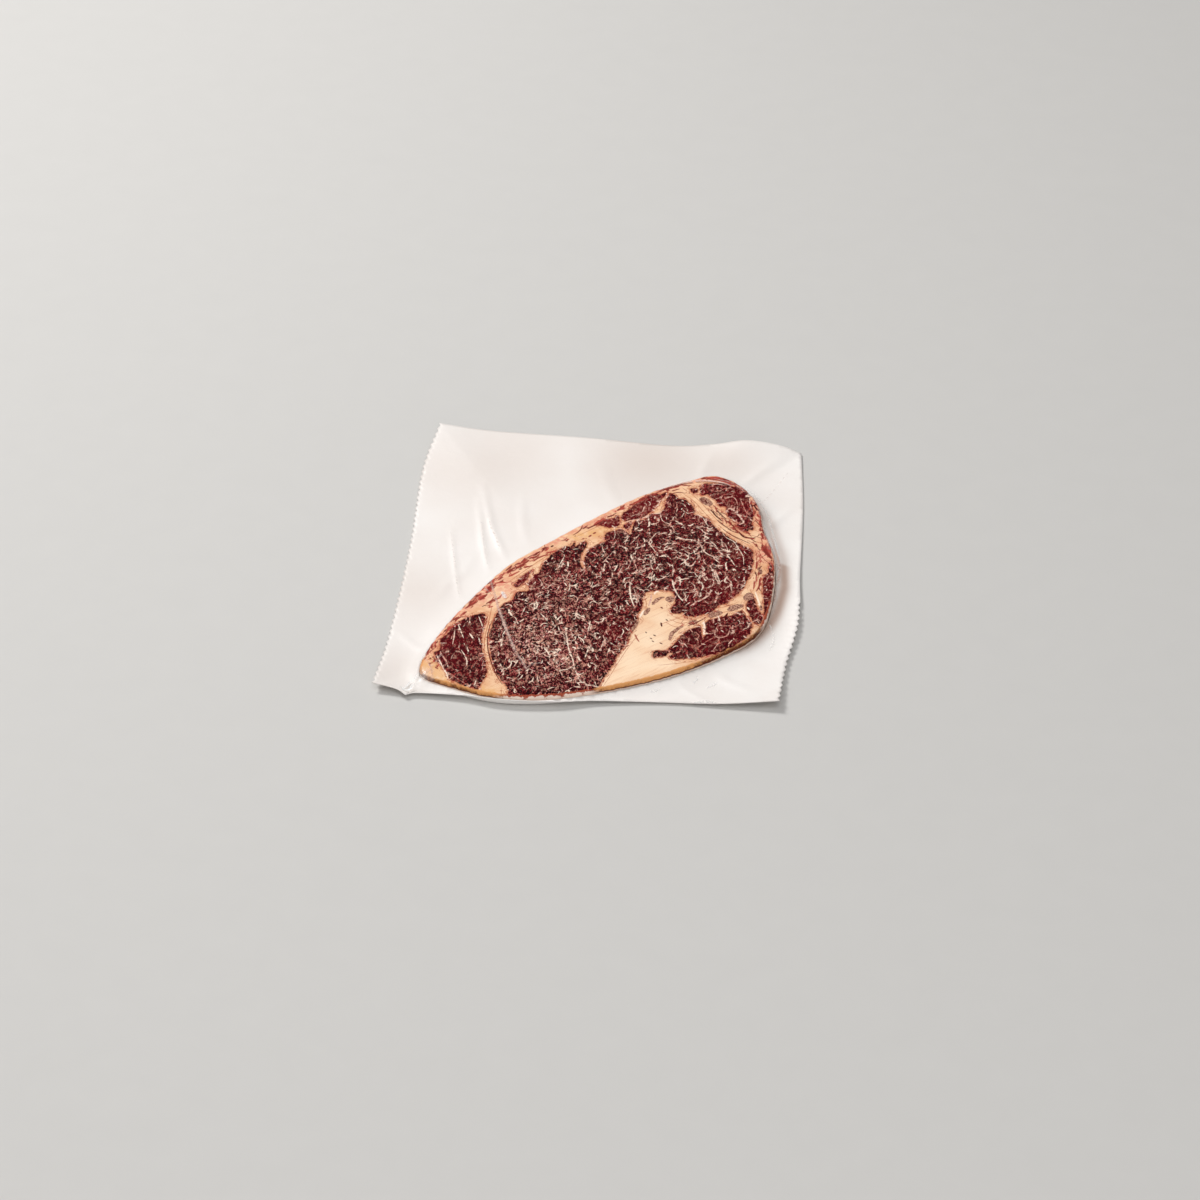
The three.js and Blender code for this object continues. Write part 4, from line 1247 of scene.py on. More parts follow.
@dataclass(frozen=True)
class Pressed:
    """Streaks as numbers at each point of a mesh.

    Attributes:
        depth: Depth in the nearest streak, negative outside it.
        aside: Signed distance from its middle line.
        half: Half its width there.
        strength: Its paleness or strength.
    """

    depth: np.ndarray
    aside: np.ndarray
    half: np.ndarray
    strength: np.ndarray


class StreakField:
    """Presses streaks into the points of a mesh."""

    def __init__(self, at: np.ndarray, reach: float, cell: float = 2.5) -> None:
        """Sorts the points into cells.

        Args:
            at: Points on the drawing.
            reach: Distance beyond which a streak isn't felt.
            cell: Side of a cell.
        """
        self.at = at
        self.reach = reach
        self.cell = cell
        self.low = at.min(0)
        cells = ((at - self.low) / cell).astype(int)
        self.rows = cells[:, 1].max() + 1
        key = cells[:, 0] * self.rows + cells[:, 1]
        self.order = np.argsort(key, kind="stable")
        self.keys = key[self.order]

    def near(self, low: np.ndarray, high: np.ndarray) -> np.ndarray:
        """Finds the points in the cells that a box touches.

        Args:
            low: The box's lowest corner.
            high: Its highest corner.

        Returns:
            The points' indices.
        """
        i0, j0 = np.maximum(((low - self.low) / self.cell).astype(int), 0)
        i1, j1 = ((high - self.low) / self.cell).astype(int)
        j1 = min(j1, self.rows - 1)
        if i1 < i0 or j1 < j0:
            return np.zeros(0, int)
        columns = np.arange(i0, i1 + 1) * self.rows
        first = np.searchsorted(self.keys, columns + j0, "left")
        last = np.searchsorted(self.keys, columns + j1, "right")
        return np.concatenate([self.order[a:b] for a, b in zip(first, last)])

    def press(self, streaks: list[Streak] | tuple[Streak, ...]) -> Pressed:
        """Works out where every point lies among the streaks.

        Args:
            streaks: Streaks with points, width and strength.

        Returns:
            What each point feels of its nearest streak, the depth at least -reach.
        """
        depth = np.full(len(self.at), -self.reach)
        aside = np.full(len(self.at), self.reach)
        across, strength = np.zeros(len(self.at)), np.zeros(len(self.at))
        for places, width, value in streaks:
            line = smooth_curve(places, False, 3)
            rows = self.near(line.min(0) - self.reach - width, line.max(0) + self.reach + width)
            if not len(rows):
                continue
            far, place = distance_to_line(self.at[rows], line)
            half = 0.5 * width * np.clip(np.sin(math.pi * place), 0, 1) ** 0.35
            felt = half - np.abs(far)
            deeper = felt > depth[rows]
            chosen = rows[deeper]
            depth[chosen], aside[chosen] = felt[deeper], far[deeper]
            across[chosen], strength[chosen] = half[deeper], value
        return Pressed(depth, aside, across, strength)


@dataclass
class Steak:
    """The meat: a closed body whose top carries the drawing of the cut face.

    Attributes:
        shape: Outline and thickness.
        face: Muscles on the cut face.
        seams: Streaks drawn one by one.
        grain: How fine streaks lie.
        marbling: Fine streaks of each muscle.
        bands: Red streaks scattered in the fat.
        strands: Strands of fat that cross into the lean.
        nicks: Nicks of lean in the fat beside it.
        fine: Distance between points where there is lean, in millimetres.
        count: Points round the side.
        seed: Start of all that is scattered.
        slim: Share of their width that the streaks drawn one by one keep.
        side_rings: Rings on the upright side.
        lean_reach: Depth in the lean, and below the side's line, that is measured.
        streak_reach: Distance from a streak that is measured.
        margins: How far outside the lean, and outside streaks in the fat, the mesh stays fine.
        border_pitch: Distance between the places where strands and nicks may start.
        top_turns: Angles in degrees at which the rounding of the top's edge has its rings.
        foot_turns: Those of the rounding at the foot.
        rise: How much the lean stands above the fat.
        ripple: Height of the ripples on both.
        rough: Waves round the side, as their number, height and start in radians.
    """

    shape: SteakShape = field(default_factory=SteakShape)
    face: CutFace = field(default_factory=CutFace)
    seams: Seams = field(default_factory=Seams)
    grain: Grain = field(default_factory=Grain)
    marbling: tuple[Marbling, ...] = (
        Marbling(0, 11.0, 1.8, 0.42, 0.5, (-22, -90, 48), 60.0),
        Marbling(0, 3.4, 2.4, 0.56, 0.8, (-22, -88, 52)),
        Marbling(0, 7.0, 1.9, 0.42, 0.55, (44, -4, 58), 50.0),
        Marbling(0, 3.4, 2.8, 0.52, 0.8, (44, -4, 60)),
        Marbling(1, 5.0, 1.8, 0.38, 0.45),
        Marbling(2, 5.0, 2.2, 0.4, 0.4),
        Marbling(3, 4.0, 2.0, 0.4, 0.3),
        Marbling(6, 4.0, 2.4, 0.4, 0.3),
        Marbling(8, 7.0, 2.2, 0.4, 0.4),
        Marbling(9, 5.0, 2.2, 0.38, 0.3),
        Marbling(10, 4.0, 2.4, 0.4, 0.4),
    )
    bands: tuple[Band, ...] = (
        Band(((-84, -114), (-82, -98), (-76, -84), (-67, -65), (-60, -51)), 3.0, 54, 3.8),
        Band(((-60, -50), (-51, -36), (-40, -22), (-28, -6)), 3.4, 70, 4.4),
        Band(((-28, -6), (-14, 8), (0, 24), (14, 40), (30, 56), (46, 66)), 1.7, 56, 4.0),
        Band(((84, 54), (89, 34), (92, 18), (95, 2)), 2.8, 52, 4.0),
        Band(((96, 4), (98, -6), (99, -14)), 1.4, 12, 3.4),
        Band(((52, 70.6), (60, 72), (67, 70), (74, 66), (80, 61)), 1.4, 64, 3.4, 0.6),
        Band(((30, 57), (38, 62), (46, 66.4)), 1.2, 16, 3.0, 0.4),
        Band(((88, 12), (90, 0), (91, -16), (91, -34)), 2.2, 20, 4.4, 0.5),
        Band(((60, 44), (68, 32), (76, 21), (88, 12)), 3.2, 44, 5.0, 0.42),
        Band(((44, 62), (54, 51), (64, 36)), 2.4, 10, 4.0, 0.36),
        Band(((-58, -66), (-54, -60), (-50, -56)), 2.4, 12, 2.8),
        Band(((-80, -106), (-79, -114), (-74, -122)), 3.2, 14, 2.0, 0.5),
        Band(((50, -70), (58, -66), (66, -60)), 2.0, 12, 3.4, 0.36),
    )
    strands: Fringe = Fringe(0.26, (0.7,), True, 0.9, (1.2, 4.2), 0.35, (0.3, 0.8), (0.1, 0.7))
    nicks: Fringe = Fringe(0.2, (0.2, 1.3), False, 0.3, (1.2, 3.6), 0.25, (0.3, 0.6), (0.0, 0.7))
    fine: float = 0.56
    count: int = 1060
    seed: int = 11
    slim: float = 0.55
    side_rings: int = 5
    lean_reach: float = 4.0
    streak_reach: float = 1.6
    margins: tuple[float, float] = (1.2, 0.8)
    border_pitch: float = 1.3
    top_turns: tuple[float, ...] = (20, 40, 58, 75, 90)
    foot_turns: tuple[float, ...] = (60, 30, 0)
    rise: float = 0.16
    ripple: float = 0.03
    rough: Places = ((61, 0.12, 0), (97, 0.1, 1))

    def build(self) -> bpy.types.Object:
        """Makes the meat's mesh with its relief and its painted numbers.

        Returns:
            The meat.
        """
        side, outward = self.shape.side(self.count)
        loop = side - outward * self.shape.top_rounding
        low, high = loop.min(0), loop.max(0)
        points, coarse = lattice(low, high, self.fine)
        clear = depth_in(points, loop, 2.0) > 0.45 * self.fine
        points, coarse = points[clear], coarse[clear]
        marks = [*self.seams.blood, *self.seams.tissue, *self.seams.layers, *self.red_streaks()]
        marked = StreakField(points, self.streak_reach).press(marks).depth
        by_lean, by_marks = self.margins
        keep = coarse | (self.lean_depth(points) > -by_lean) | (marked > -by_marks)
        at, triangles = patch(loop, None, points[keep])
        LOG.info("cut face: %d points, %d triangles", len(at), len(triangles))
        skin = Skin(at, self.shape.top(at) + self.relief(at), triangles, np.arange(self.count))
        rings, heights, below = self.side_places(side, outward)
        for ring, level in zip(rings, heights):
            skin.ring(ring, level)
        skin.close(step=6.0, room=1.5, height=self.shape.bottom, down=True)
        piece = skin.make("steak_meat")
        self.paint_all(piece, skin.plan(), len(at), below)
        return piece

    def side_places(
        self, side: np.ndarray, outward: np.ndarray
    ) -> tuple[list[np.ndarray], list[np.ndarray], np.ndarray]:
        """Rings from the edge of the top down to the underside.

        Args:
            side: Widest line of the side.
            outward: Outward direction along it.

        Returns:
            The rings, their heights, and each ring's depth below the top as a share.
        """
        shape = self.shape
        top = shape.top(side, np.ones(len(side)))
        r, b = shape.top_rounding, shape.bottom_rounding
        section = [
            (-r * (1 - math.sin(a)), lambda t, a=a: t - r * (1 - math.cos(a)))
            for a in np.radians(self.top_turns)
        ]
        low = shape.bottom + b
        for i in range(1, self.side_rings + 1):
            section.append((0.0, lambda t, s=i / self.side_rings: t - r + (low - t + r) * s))
        section += [
            (-b * (1 - math.sin(a)), lambda t, a=a: 0 * t + shape.bottom + b * (1 - math.cos(a)))
            for a in np.radians(self.foot_turns)
        ]
        wander = np.linspace(0, 2 * math.pi, len(side), endpoint=False)
        rough = sum(height * np.sin(waves * wander + ahead) for waves, height, ahead in self.rough) - 0.1
        rings, heights = [], []
        for out, level in section:
            amount = rough if out > -1.4 else 0 * rough
            rings.append(side + outward * (out + amount)[:, None])
            heights.append(level(top))
        return rings, heights, np.linspace(0, 1, len(section))

    def lean_depth(self, at: np.ndarray) -> np.ndarray:
        """Measures how deep points lie in the lean.

        Args:
            at: Points on the drawing.

        Returns:
            Their depth in millimetres, negative in the fat.
        """
        depth = np.full(len(at), -self.lean_reach)
        for loop in self.face.muscles():
            depth = np.maximum(depth, depth_in(at, loop, self.lean_reach))
        return depth

    def relief(self, at: np.ndarray) -> np.ndarray:
        """Small rise of the lean over the fat, which dies away at the rim.

        Args:
            at: Points on the drawing.

        Returns:
            What is added to the height of the top.
        """
        room = ease(1 - self.shape.share(at), 0, 0.03)
        ripple = np.sin(at[:, 0] * 0.9 + 2 * np.sin(at[:, 1] * 0.23)) * np.sin(at[:, 1] * 0.7)
        return room * (
            self.rise * ease(self.lean_depth(at), -0.8, 0.8) - 0.1 + self.ripple * ripple
        )

    def red_streaks(self) -> list[Streak]:
        """Red streaks in the fat, scattered along the bands."""
        draw = random.Random(self.seed + 1)
        return [streak for band in self.bands for streak in band.scatter(draw)]

    def fringes(self) -> tuple[list[Streak], list[Streak]]:
        """Draws what crosses the border between lean and fat.

        Returns:
            The strands of fat and the nicks of lean.
        """
        draw = random.Random(self.seed + 2)
        strands, nicks = [], []
        for loop in self.face.muscles():
            around = np.vstack([loop, loop[:1]])
            length = np.hypot(*np.diff(around, axis=0).T).sum()
            line = evenly(loop, max(8, int(length / self.border_pitch)), True)
            along = np.roll(line, -1, axis=0) - np.roll(line, 1, axis=0)
            along /= np.hypot(*along.T)[:, None]
            later = np.roll(loop, -1, axis=0)
            turned = np.sign((loop[:, 0] * later[:, 1] - loop[:, 1] * later[:, 0]).sum())
            out = np.stack([along[:, 1], -along[:, 0]], 1) * turned
            for place, ahead, away in zip(line, along, out):
                strands += self.strands.strokes(place, ahead, away, draw)
                nicks += self.nicks.strokes(place, ahead, away, draw)
        return strands, nicks

    def streaks(self) -> list[Streak]:
        """Gathers all pale streaks, drawn and scattered.

        Returns:
            The streaks, each its points, width and paleness.
        """
        draw = random.Random(self.seed)
        muscles = self.face.muscles()
        drawn = (*self.seams.eye, *self.seams.small_muscles, *self.seams.lobe)
        made = [(places, self.slim * width, pale) for places, width, pale in drawn]
        made += self.fringes()[0]
        for part in self.marbling:
            made += part.scatter(muscles[part.loop], self.grain, draw)
        return made

    def paint_all(
        self, piece: bpy.types.Object, plan: np.ndarray, tops: int, below: np.ndarray
    ) -> None:
        """Stores the drawing of the cut face on the mesh.

        Args:
            piece: The meat.
            plan: Places of its points on the drawing.
            tops: How many of them form the cut face.
            below: Depth of each side ring as a share.
        """
        pressed = StreakField(plan, self.streak_reach)
        streaks = self.streaks()
        LOG.info("%d streaks of marbling", len(streaks))
        fat = pressed.press(streaks)
        red = pressed.press([*self.seams.blood, *self.red_streaks(), *self.fringes()[1]])
        paint_streaks(piece, "streak", fat)
        paint(piece, "pale", fat.strength)
        paint_streaks(piece, "blood", red)
        paint(piece, "deep", red.strength)
        paint_streaks(piece, "layers", pressed.press(self.seams.layers))
        paint(piece, "tissue", pressed.press(self.seams.tissue).depth)
        paint(piece, "lean", self.lean_depth(plan))
        paint(piece, "inset", depth_in(plan, self.shape.side(self.count)[0], self.lean_reach))
        down = np.zeros(len(plan))
        rings = np.repeat(below, self.count)
        down[tops : tops + len(rings)] = rings
        down[tops + len(rings) :] = 1
        paint(piece, "down", down)
        for tint in TINTS:
            paint(piece, tint.name, tint.weight(plan))


@dataclass(frozen=True)
class Tint:
    """A soft patch of another tone on the cut face.

    Attributes:
        name: Attribute that the material reads.
        spots: Soft round spots as x, y, radius and strength.
        bands: Soft bands as points, half-width and strength.
    """

    name: str
    spots: Places = ()
    bands: tuple[Streak, ...] = ()

    def weight(self, at: np.ndarray) -> np.ndarray:
        """Tells how strong the tone is.

        Args:
            at: Points on the drawing.

        Returns:
            Its strength at each, from 0 to 1.
        """
        total = np.zeros(len(at))
        for x, y, radius, strength in self.spots:
            square = ((at[:, 0] - x) ** 2 + (at[:, 1] - y) ** 2) / radius**2
            total = np.maximum(total, strength * np.exp(-square))
        for places, half, strength in self.bands:
            far, _ = distance_to_line(at, smooth_curve(places, False, 4))
            total = np.maximum(total, strength * np.exp(-((far / half) ** 2)))
        return np.clip(total, 0, 1)


TINTS = (
    Tint(
        "rosy",
        spots=(
            (-62, -55, 8, 0.9), (-80, -88, 6, 0.8), (93, 0, 7, 0.8), (94, 14, 5, 0.7),
            (-50, -42, 7, 0.8), (-72, -72, 6, 0.8), (-45, -50, 6, 0.7),
        ),
        bands=(
            (((-86, -112), (-84, -100), (-77, -80), (-66, -60), (-54, -38)), 4.4, 0.9),
            (((-54, -38), (-40, -18), (-24, 2), (-4, 24), (20, 48), (40, 64)), 2.8, 0.8),
            (((86, 52), (91, 30), (95, 8), (99, -8)), 3.6, 0.85),
            (((40, 64), (54, 71), (66, 70.5), (80, 60)), 2.2, 0.9),
        ),
    ),  # fmt: skip
    Tint(
        "golden",
        spots=((-78, -118, 8, 0.9), (-62, -130, 6, 0.6)),
        bands=(
            (((-84, -116), (-76, -127), (-60, -133.5), (-44, -137)), 3.0, 0.9),
            (((-14, 6), (-2, 12), (8, 20)), 4.0, 0.9),
        ),
    ),
    Tint(
        "rind",
        bands=(
            (((14, -129), (22, -125.6), (50, -111.8), (75, -93.3), (94, -72), (99, -52)), 5.0, 1.0),
            (((-88, -112), (-83, -126), (-66, -133), (-47, -138.6), (-42, -139)), 5.0, 1.0),
        ),
    ),
    Tint(
        "umber",
        bands=((((66, -101), (78, -91), (94, -72), (100, -48)), 6.0, 0.7),),
        spots=((-80, -128, 10, 0.6), (-64, -134, 14, 0.4), (-2, -135, 13, 0.8), (-24, -139, 16, 0.7)),
    ),
    Tint(
        "bare",
        bands=(
            (((97, -62), (100.2, -42), (99.5, -4), (92, 24), (87, 49)), 5.0, 1.0),
            (((-36, -139.4), (-20, -138.5), (-6, -135.2), (6, -132)), 5.0, 1.0),
        ),
    ),
    Tint(
        "plain",
        spots=((66, -78, 18, 1.0), (84, -66, 12, 0.8), (-70, -102, 17, 1.0), (-62, -82, 9, 0.7)),
    ),
    Tint(
        "red",
        spots=(
            (22, 42, 16, 0.8), (2, 22, 10, 0.9), (72, 46, 24, 0.5), (74, -40, 18, 0.5),
            (97, -30, 14, 0.7), (-70, -100, 22, 0.35), (70, -78, 26, 0.35), (16, -80, 10, 0.4),
            (-38, -36, 8, 0.8), (90, -54, 8, 0.4), (82, 0, 14, 0.35),
        ),
    ),  # fmt: skip
    Tint(
        "bright",
        spots=(
            (26, -104, 16, 1.0), (36, -84, 13, 1.0), (44, -100, 9, 0.6), (41, -66, 8, 0.8),
            (-50, -56, 5, 0.6),
        ),
        bands=((((13, -126), (24, -116), (34, -108), (48, -106)), 6.0, 1.0),),
    ),  # fmt: skip
    # Painted sheen of the film: patches where it lays a lighter grey veil over the lean.
    Tint(
        "painted_film_sheen",
        spots=(
            (-28, -95, 20, 1.0), (-4, -84, 18, 0.7), (-26, -72, 12, 0.6), (-12, -112, 26, 0.75),
            (-14, -56, 26, 0.6), (20, -22, 16, 0.2),
        ),
    ),  # fmt: skip
    Tint("grey", spots=((10.7, -20.7, 3.4, 1.0), (51, 20, 7, 0.4), (22, -6, 12, 0.3))),
)  # fmt: skip


@dataclass
class Sheets:
    """The pouch's two sheets: the white web below and the clear film above.

    Attributes:
        drape: How they leave the steak's side.
        count: Points round the ridge.
        flange_step: Distance between points on the flange.
        film_step: Distance between points of the film over the meat.
        web_thickness: Thickness of the web.
        film_thickness: Thickness of the film.
        film_lift: Height of the film's lower face above the web's upper one.
        line_lift: Height of the lines pressed into the film over the meat.
        streak_reach: Distance from a line or glint that is measured.
        margins: How far beside these the mesh stays fine, on the flange and over the meat.
        fold_start: Where the bunched film starts, which runs to the fold's tip.
        fold_half: Its half-width.
        film_lines: Lines pressed into the film, each its points, width and strength.
    """

    drape: Drape
    count: int = 560
    flange_step: float = 1.75
    film_step: float = 0.7
    web_thickness: float = 0.4
    film_thickness: float = 0.08
    film_lift: float = 0.12
    line_lift: float = 0.28
    streak_reach: float = 2.2
    margins: tuple[float, float] = (1.2, 1.4)
    fold_start: tuple[float, float] = (-83.0, -125.0)
    fold_half: float = 4.5
    film_lines: tuple[Streak, ...] = (
        (
            (
                (-57, -40), (-55, -47), (-52.5, -55), (-49.5, -66), (-45, -78.5), (-40.7, -91),
                (-35.7, -103.5), (-30.7, -112), (-28.5, -117.5),
            ),
            1.0,
            1.0,
        ),
        (((-60, -46), (-55.5, -52), (-50, -55)), 0.6, 0.8),
        (((-28.5, -117.5), (-26, -113), (-20, -111)), 0.5, 0.7),
        (((30, 57.5), (38, 62.6), (46, 66), (55, 68.2), (64, 67.6), (71, 64.6)), 1.0, 1.0),
        (((-84, -112), (-80, -120), (-78, -130)), 0.6, 0.7),
        (((-76, -108), (-79, -118), (-84, -126)), 0.5, 0.5),
        (((96, 4), (93, 24), (89, 44), (80, 60)), 0.5, 0.7), (((94, 12), (91, 30), (87, 46)), 0.4, 0.6),
        (((60, 71), (70, 68), (79, 59), (85, 48)), 0.5, 0.6),
        (((96, 25), (99.5, 9.7), (102.6, -4), (102.8, -13), (102.2, -21), (101.4, -31),
            (101, -40)), 0.5, 0.8),
        (((97.5, 14), (100.2, 1.5), (101.5, -5), (101.6, -14), (101.3, -24)), 0.4, 0.5),
        (((-87, 18), (-84, 3), (-81, -12), (-78, -28), (-74, -46)), 0.3, 0.3),
        (((-70.6, 28), (-68, 14), (-65, -1), (-62, -14)), 0.6, 0.22),
        (((-66.5, 31), (-64.3, 23), (-60.4, 13), (-56.6, 1)), 0.5, 0.3),
        (((86, 52), (92, 70), (102, 96)), 0.3, 0.3),
    )  # fmt: skip

    def __post_init__(self) -> None:
        """Lays out what both sheets share."""
        self.side, self.outward = self.drape.steak.side(self.count)
        self.crest = self.side + self.outward * 2 * self.drape.gap
        self.edge = self.drape.pouch.edge()
        low, high = self.edge[:, :2].min(0), self.edge[:, :2].max(0)
        points, coarse = lattice(low, high, self.flange_step / 2)
        points = points[coarse | (self.marked(points) > -self.margins[0])]
        points = points[depth_in(points, self.edge[:, :2], 3.0) > 1.1]
        points = points[depth_in(points, self.crest, 3.0) < -0.8]
        self.flange, self.triangles = patch(self.edge[:, :2], self.crest, points)
        self.rim = np.arange(len(self.edge), len(self.edge) + self.count)
        self.web_height, self.film_height = self.drape.slope(self.flange)

    def marked(self, at: np.ndarray) -> np.ndarray:
        """Depth of points in the nearest line or glint of the film."""
        return StreakField(at, self.streak_reach).press([*self.film_lines, *FILM_GLINTS]).depth

    def web(self) -> bpy.types.Object:
        """Makes the white web: flat below the meat, up its side, then out to the pinked edge.

        Returns:
            The web.
        """
        steak, gap = self.drape.steak, self.drape.gap
        b, even = steak.bottom_rounding, np.ones(self.count)
        foot = steak.bottom + b
        skin = Skin(self.flange, self.web_height, self.triangles, self.rim)
        for out, level in (
            (gap, foot + (self.web_height[self.rim] - foot) * 0.5),
            (gap, foot * even),
            (0.7 * gap - 0.3 * b, (steak.bottom + 0.33) * even),
            (-b, self.drape.flat * even),
        ):
            skin.ring(self.side + self.outward * out, level, under=True)
        skin.close(step=7.0, room=2.0, height=self.drape.flat, down=False)
        piece = skin.make("white_web_sheet")
        for tint in WEB_TINTS:
            paint(piece, tint.name, tint.weight(skin.plan()))
        thicken(piece, self.web_thickness, -1)
        return piece

    def film(self) -> bpy.types.Object:
        """Makes the clear film: tight on the meat, down its side, then sealed to the web.

        Returns:
            The film.
        """
        steak, gap = self.drape.steak, self.drape.gap
        r = steak.top_rounding
        loop = self.side - self.outward * r
        points, coarse = lattice(loop.min(0), loop.max(0), self.film_step)
        points = points[coarse | (self.marked(points) > -self.margins[1])]
        points = points[depth_in(points, loop, 2.0) > 0.5]
        over, triangles = patch(loop, None, points)
        lines = StreakField(over, self.streak_reach).press(self.film_lines)
        raised = self.line_lift * ease(lines.depth, -0.9, 0.1) * lines.strength
        skin = Skin(over, steak.top(over) + gap + raised, triangles, np.arange(self.count))
        top = steak.top(self.side, np.ones(self.count))
        ridge = self.film_height[self.rim] + self.film_lift
        for a in np.radians([30, 60, 90]):
            level = top - r * (1 - math.cos(a)) + gap * math.cos(a)
            out = (r + gap) * math.sin(a) - r
            skin.ring(self.side + self.outward * out, np.maximum(level, ridge))
        base = skin.heights[-1]
        for share in (0.25, 0.5, 0.75):
            out = gap * (1 + share)
            skin.ring(self.side + self.outward * out, base + (ridge - base) * share)
        link = ring_triangles(skin.rim, self.rim + skin.size)
        below = np.vstack([link, self.triangles + skin.size])
        skin.add(self.flange, self.film_height + self.film_lift, below)
        piece = skin.make("clear_film_sheet")
        self.paint_film(piece, skin.plan())
        thicken(piece, self.film_thickness, 1)
        return piece

    def paint_film(self, piece: bpy.types.Object, plan: np.ndarray) -> None:
        """Stores the film's lines, glints and fold on its mesh.

        Args:
            piece: The film.
            plan: Places of its points on the drawing.
        """
        field_of = StreakField(plan, self.streak_reach)
        lines, glints = field_of.press(self.film_lines), field_of.press(FILM_GLINTS)
        paint(piece, "line", ease(lines.depth, -0.35, 0.25) * lines.strength)
        paint(piece, "glint", ease(glints.depth, -0.35, 0.2) * glints.strength)
        far, _ = distance_to_line(plan, np.array([self.fold_start, self.drape.pouch.fold_tip]))
        paint(piece, "fold", np.exp(-((far / self.fold_half) ** 2)))


WEB_TINTS = (
    # Painted shadow of the steak on the web beside its right side and near its right front, warmed as by
    # light thrown back from the meat.
    Tint(
        "painted_warm_shadow",
        bands=(
            (
                (
                    (104.6, -2), (105.4, -12), (105.9, -22), (104.9, -34), (103.3, -46), (100.6, -57),
                    (96.3, -68), (90.3, -78), (82.5, -85),
                ),
                3.2,
                0.9,
            ),
            (((84, 62), (94, 42), (99, 26), (103, 10), (105, -4)), 3.4, 0.4),
            (((84, 57), (92, 40), (97, 22), (100.5, 4), (102, -12), (102, -30), (101, -44)), 2.6, 0.45),
            (((84, -83), (72, -94), (56, -104)), 3.0, 0.35),
        ),
    ),
    # Painted shade: broad soft patches where the web is darker.
    Tint(
        "shade",
        spots=(
            (-70, 85, 48, 0.6), (20, 100, 42, 1.0), (62, 98, 24, 0.7), (-100, -40, 34, 0.55),
            (-100, -120, 26, 0.5),
        ),
    ),
)  # fmt: skip

FILM_GLINTS: tuple[Streak, ...] = (
    (((-49.6, -49.4), (-48.2, -52.4), (-47, -55.4)), 2.2, 0.6), (((-84.5, -108), (-86.5, -114)), 1.0, 0.7),
    (((-95, -132), (-90.6, -136.4), (-88, -130)), 1.4, 0.8), (((-90, -128), (-93, -134)), 1.0, 0.8),
    (((-86.4, -122), (-89, -129)), 1.1, 0.8), (((102, -20), (101.6, 0), (98.4, 20)), 0.8, 0.5),
    (((101.2, 8), (97.6, 26), (93.6, 44)), 0.8, 0.6), (((96, 34), (91, 52), (84, 66)), 0.8, 0.6),
    (((88, 62), (80, 72), (70, 78)), 0.7, 0.5),
    (((33, 60), (42, 64.6), (50, 67.6), (58, 68.4), (66, 67.2)), 0.9, 0.8),
    (((64, -109), (62, -113)), 0.9, 0.9), (((70, -116), (74, -112)), 0.9, 0.7),
    (((44, -121), (40, -124)), 0.8, 0.7), (((63, -131), (70, -129.4), (76, -131)), 1.2, 0.8),
    (((100, -60), (103, -70), (101, -80)), 0.8, 0.5),
)


# ---------------------------------------------------------------------------------------------
# Finishes

Colour = tuple[float, ...]
MIX_FIRST, MIX_SECOND, MIX_RESULT = 6, 7, 2  # a Mix node's sockets that carry colours


def linear(red: float, green: float, blue: float) -> Colour:
    """Turns a colour as a screen shows it into the renderer's numbers.

    Args:
        red: Its red, from 0 to 255.
        green: Its green.
        blue: Its blue.

    Returns:
        The three from 0 to 1, and 1 for full cover.
    """
    shown = (value / 255 for value in (red, green, blue))
    return (*(v / 12.92 if v <= 0.04045 else ((v + 0.055) / 1.055) ** 2.4 for v in shown), 1.0)


class Wire:
    """What a node gives out, to be reckoned with like a plain number."""

    def __init__(self, graph: Graph, socket: bpy.types.NodeSocket) -> None:
        """Keeps the graph and the node's socket."""
        self.graph = graph
        self.socket = socket

    def __add__(self, other: Wire | float) -> Wire:
        """Adds the other number to this one."""
        return self.graph.math("ADD", self, other)

    def __sub__(self, other: Wire | float) -> Wire:
        """Takes the other number from this one."""
        return self.graph.math("SUBTRACT", self, other)

    def __rsub__(self, other: float) -> Wire:
        """Takes this number from a plain one."""
        return self.graph.math("SUBTRACT", other, self)

    def __mul__(self, other: Wire | float) -> Wire:
        """Multiplies this number by the other."""
        return self.graph.math("MULTIPLY", self, other)

    def rise(self, low: Wire | float, high: Wire | float) -> Wire:
        """Turns this number into a share.

        Args:
            low: Where the share is 0.
            high: Where it is 1, above the low one or below it.

        Returns:
            The share, which rises smoothly in between.
        """
        feeds = {"Value": self, "From Min": low, "From Max": high}
        node = self.graph.add("ShaderNodeMapRange", feeds, interpolation_type="SMOOTHSTEP")
        return Wire(self.graph, node.outputs["Result"])


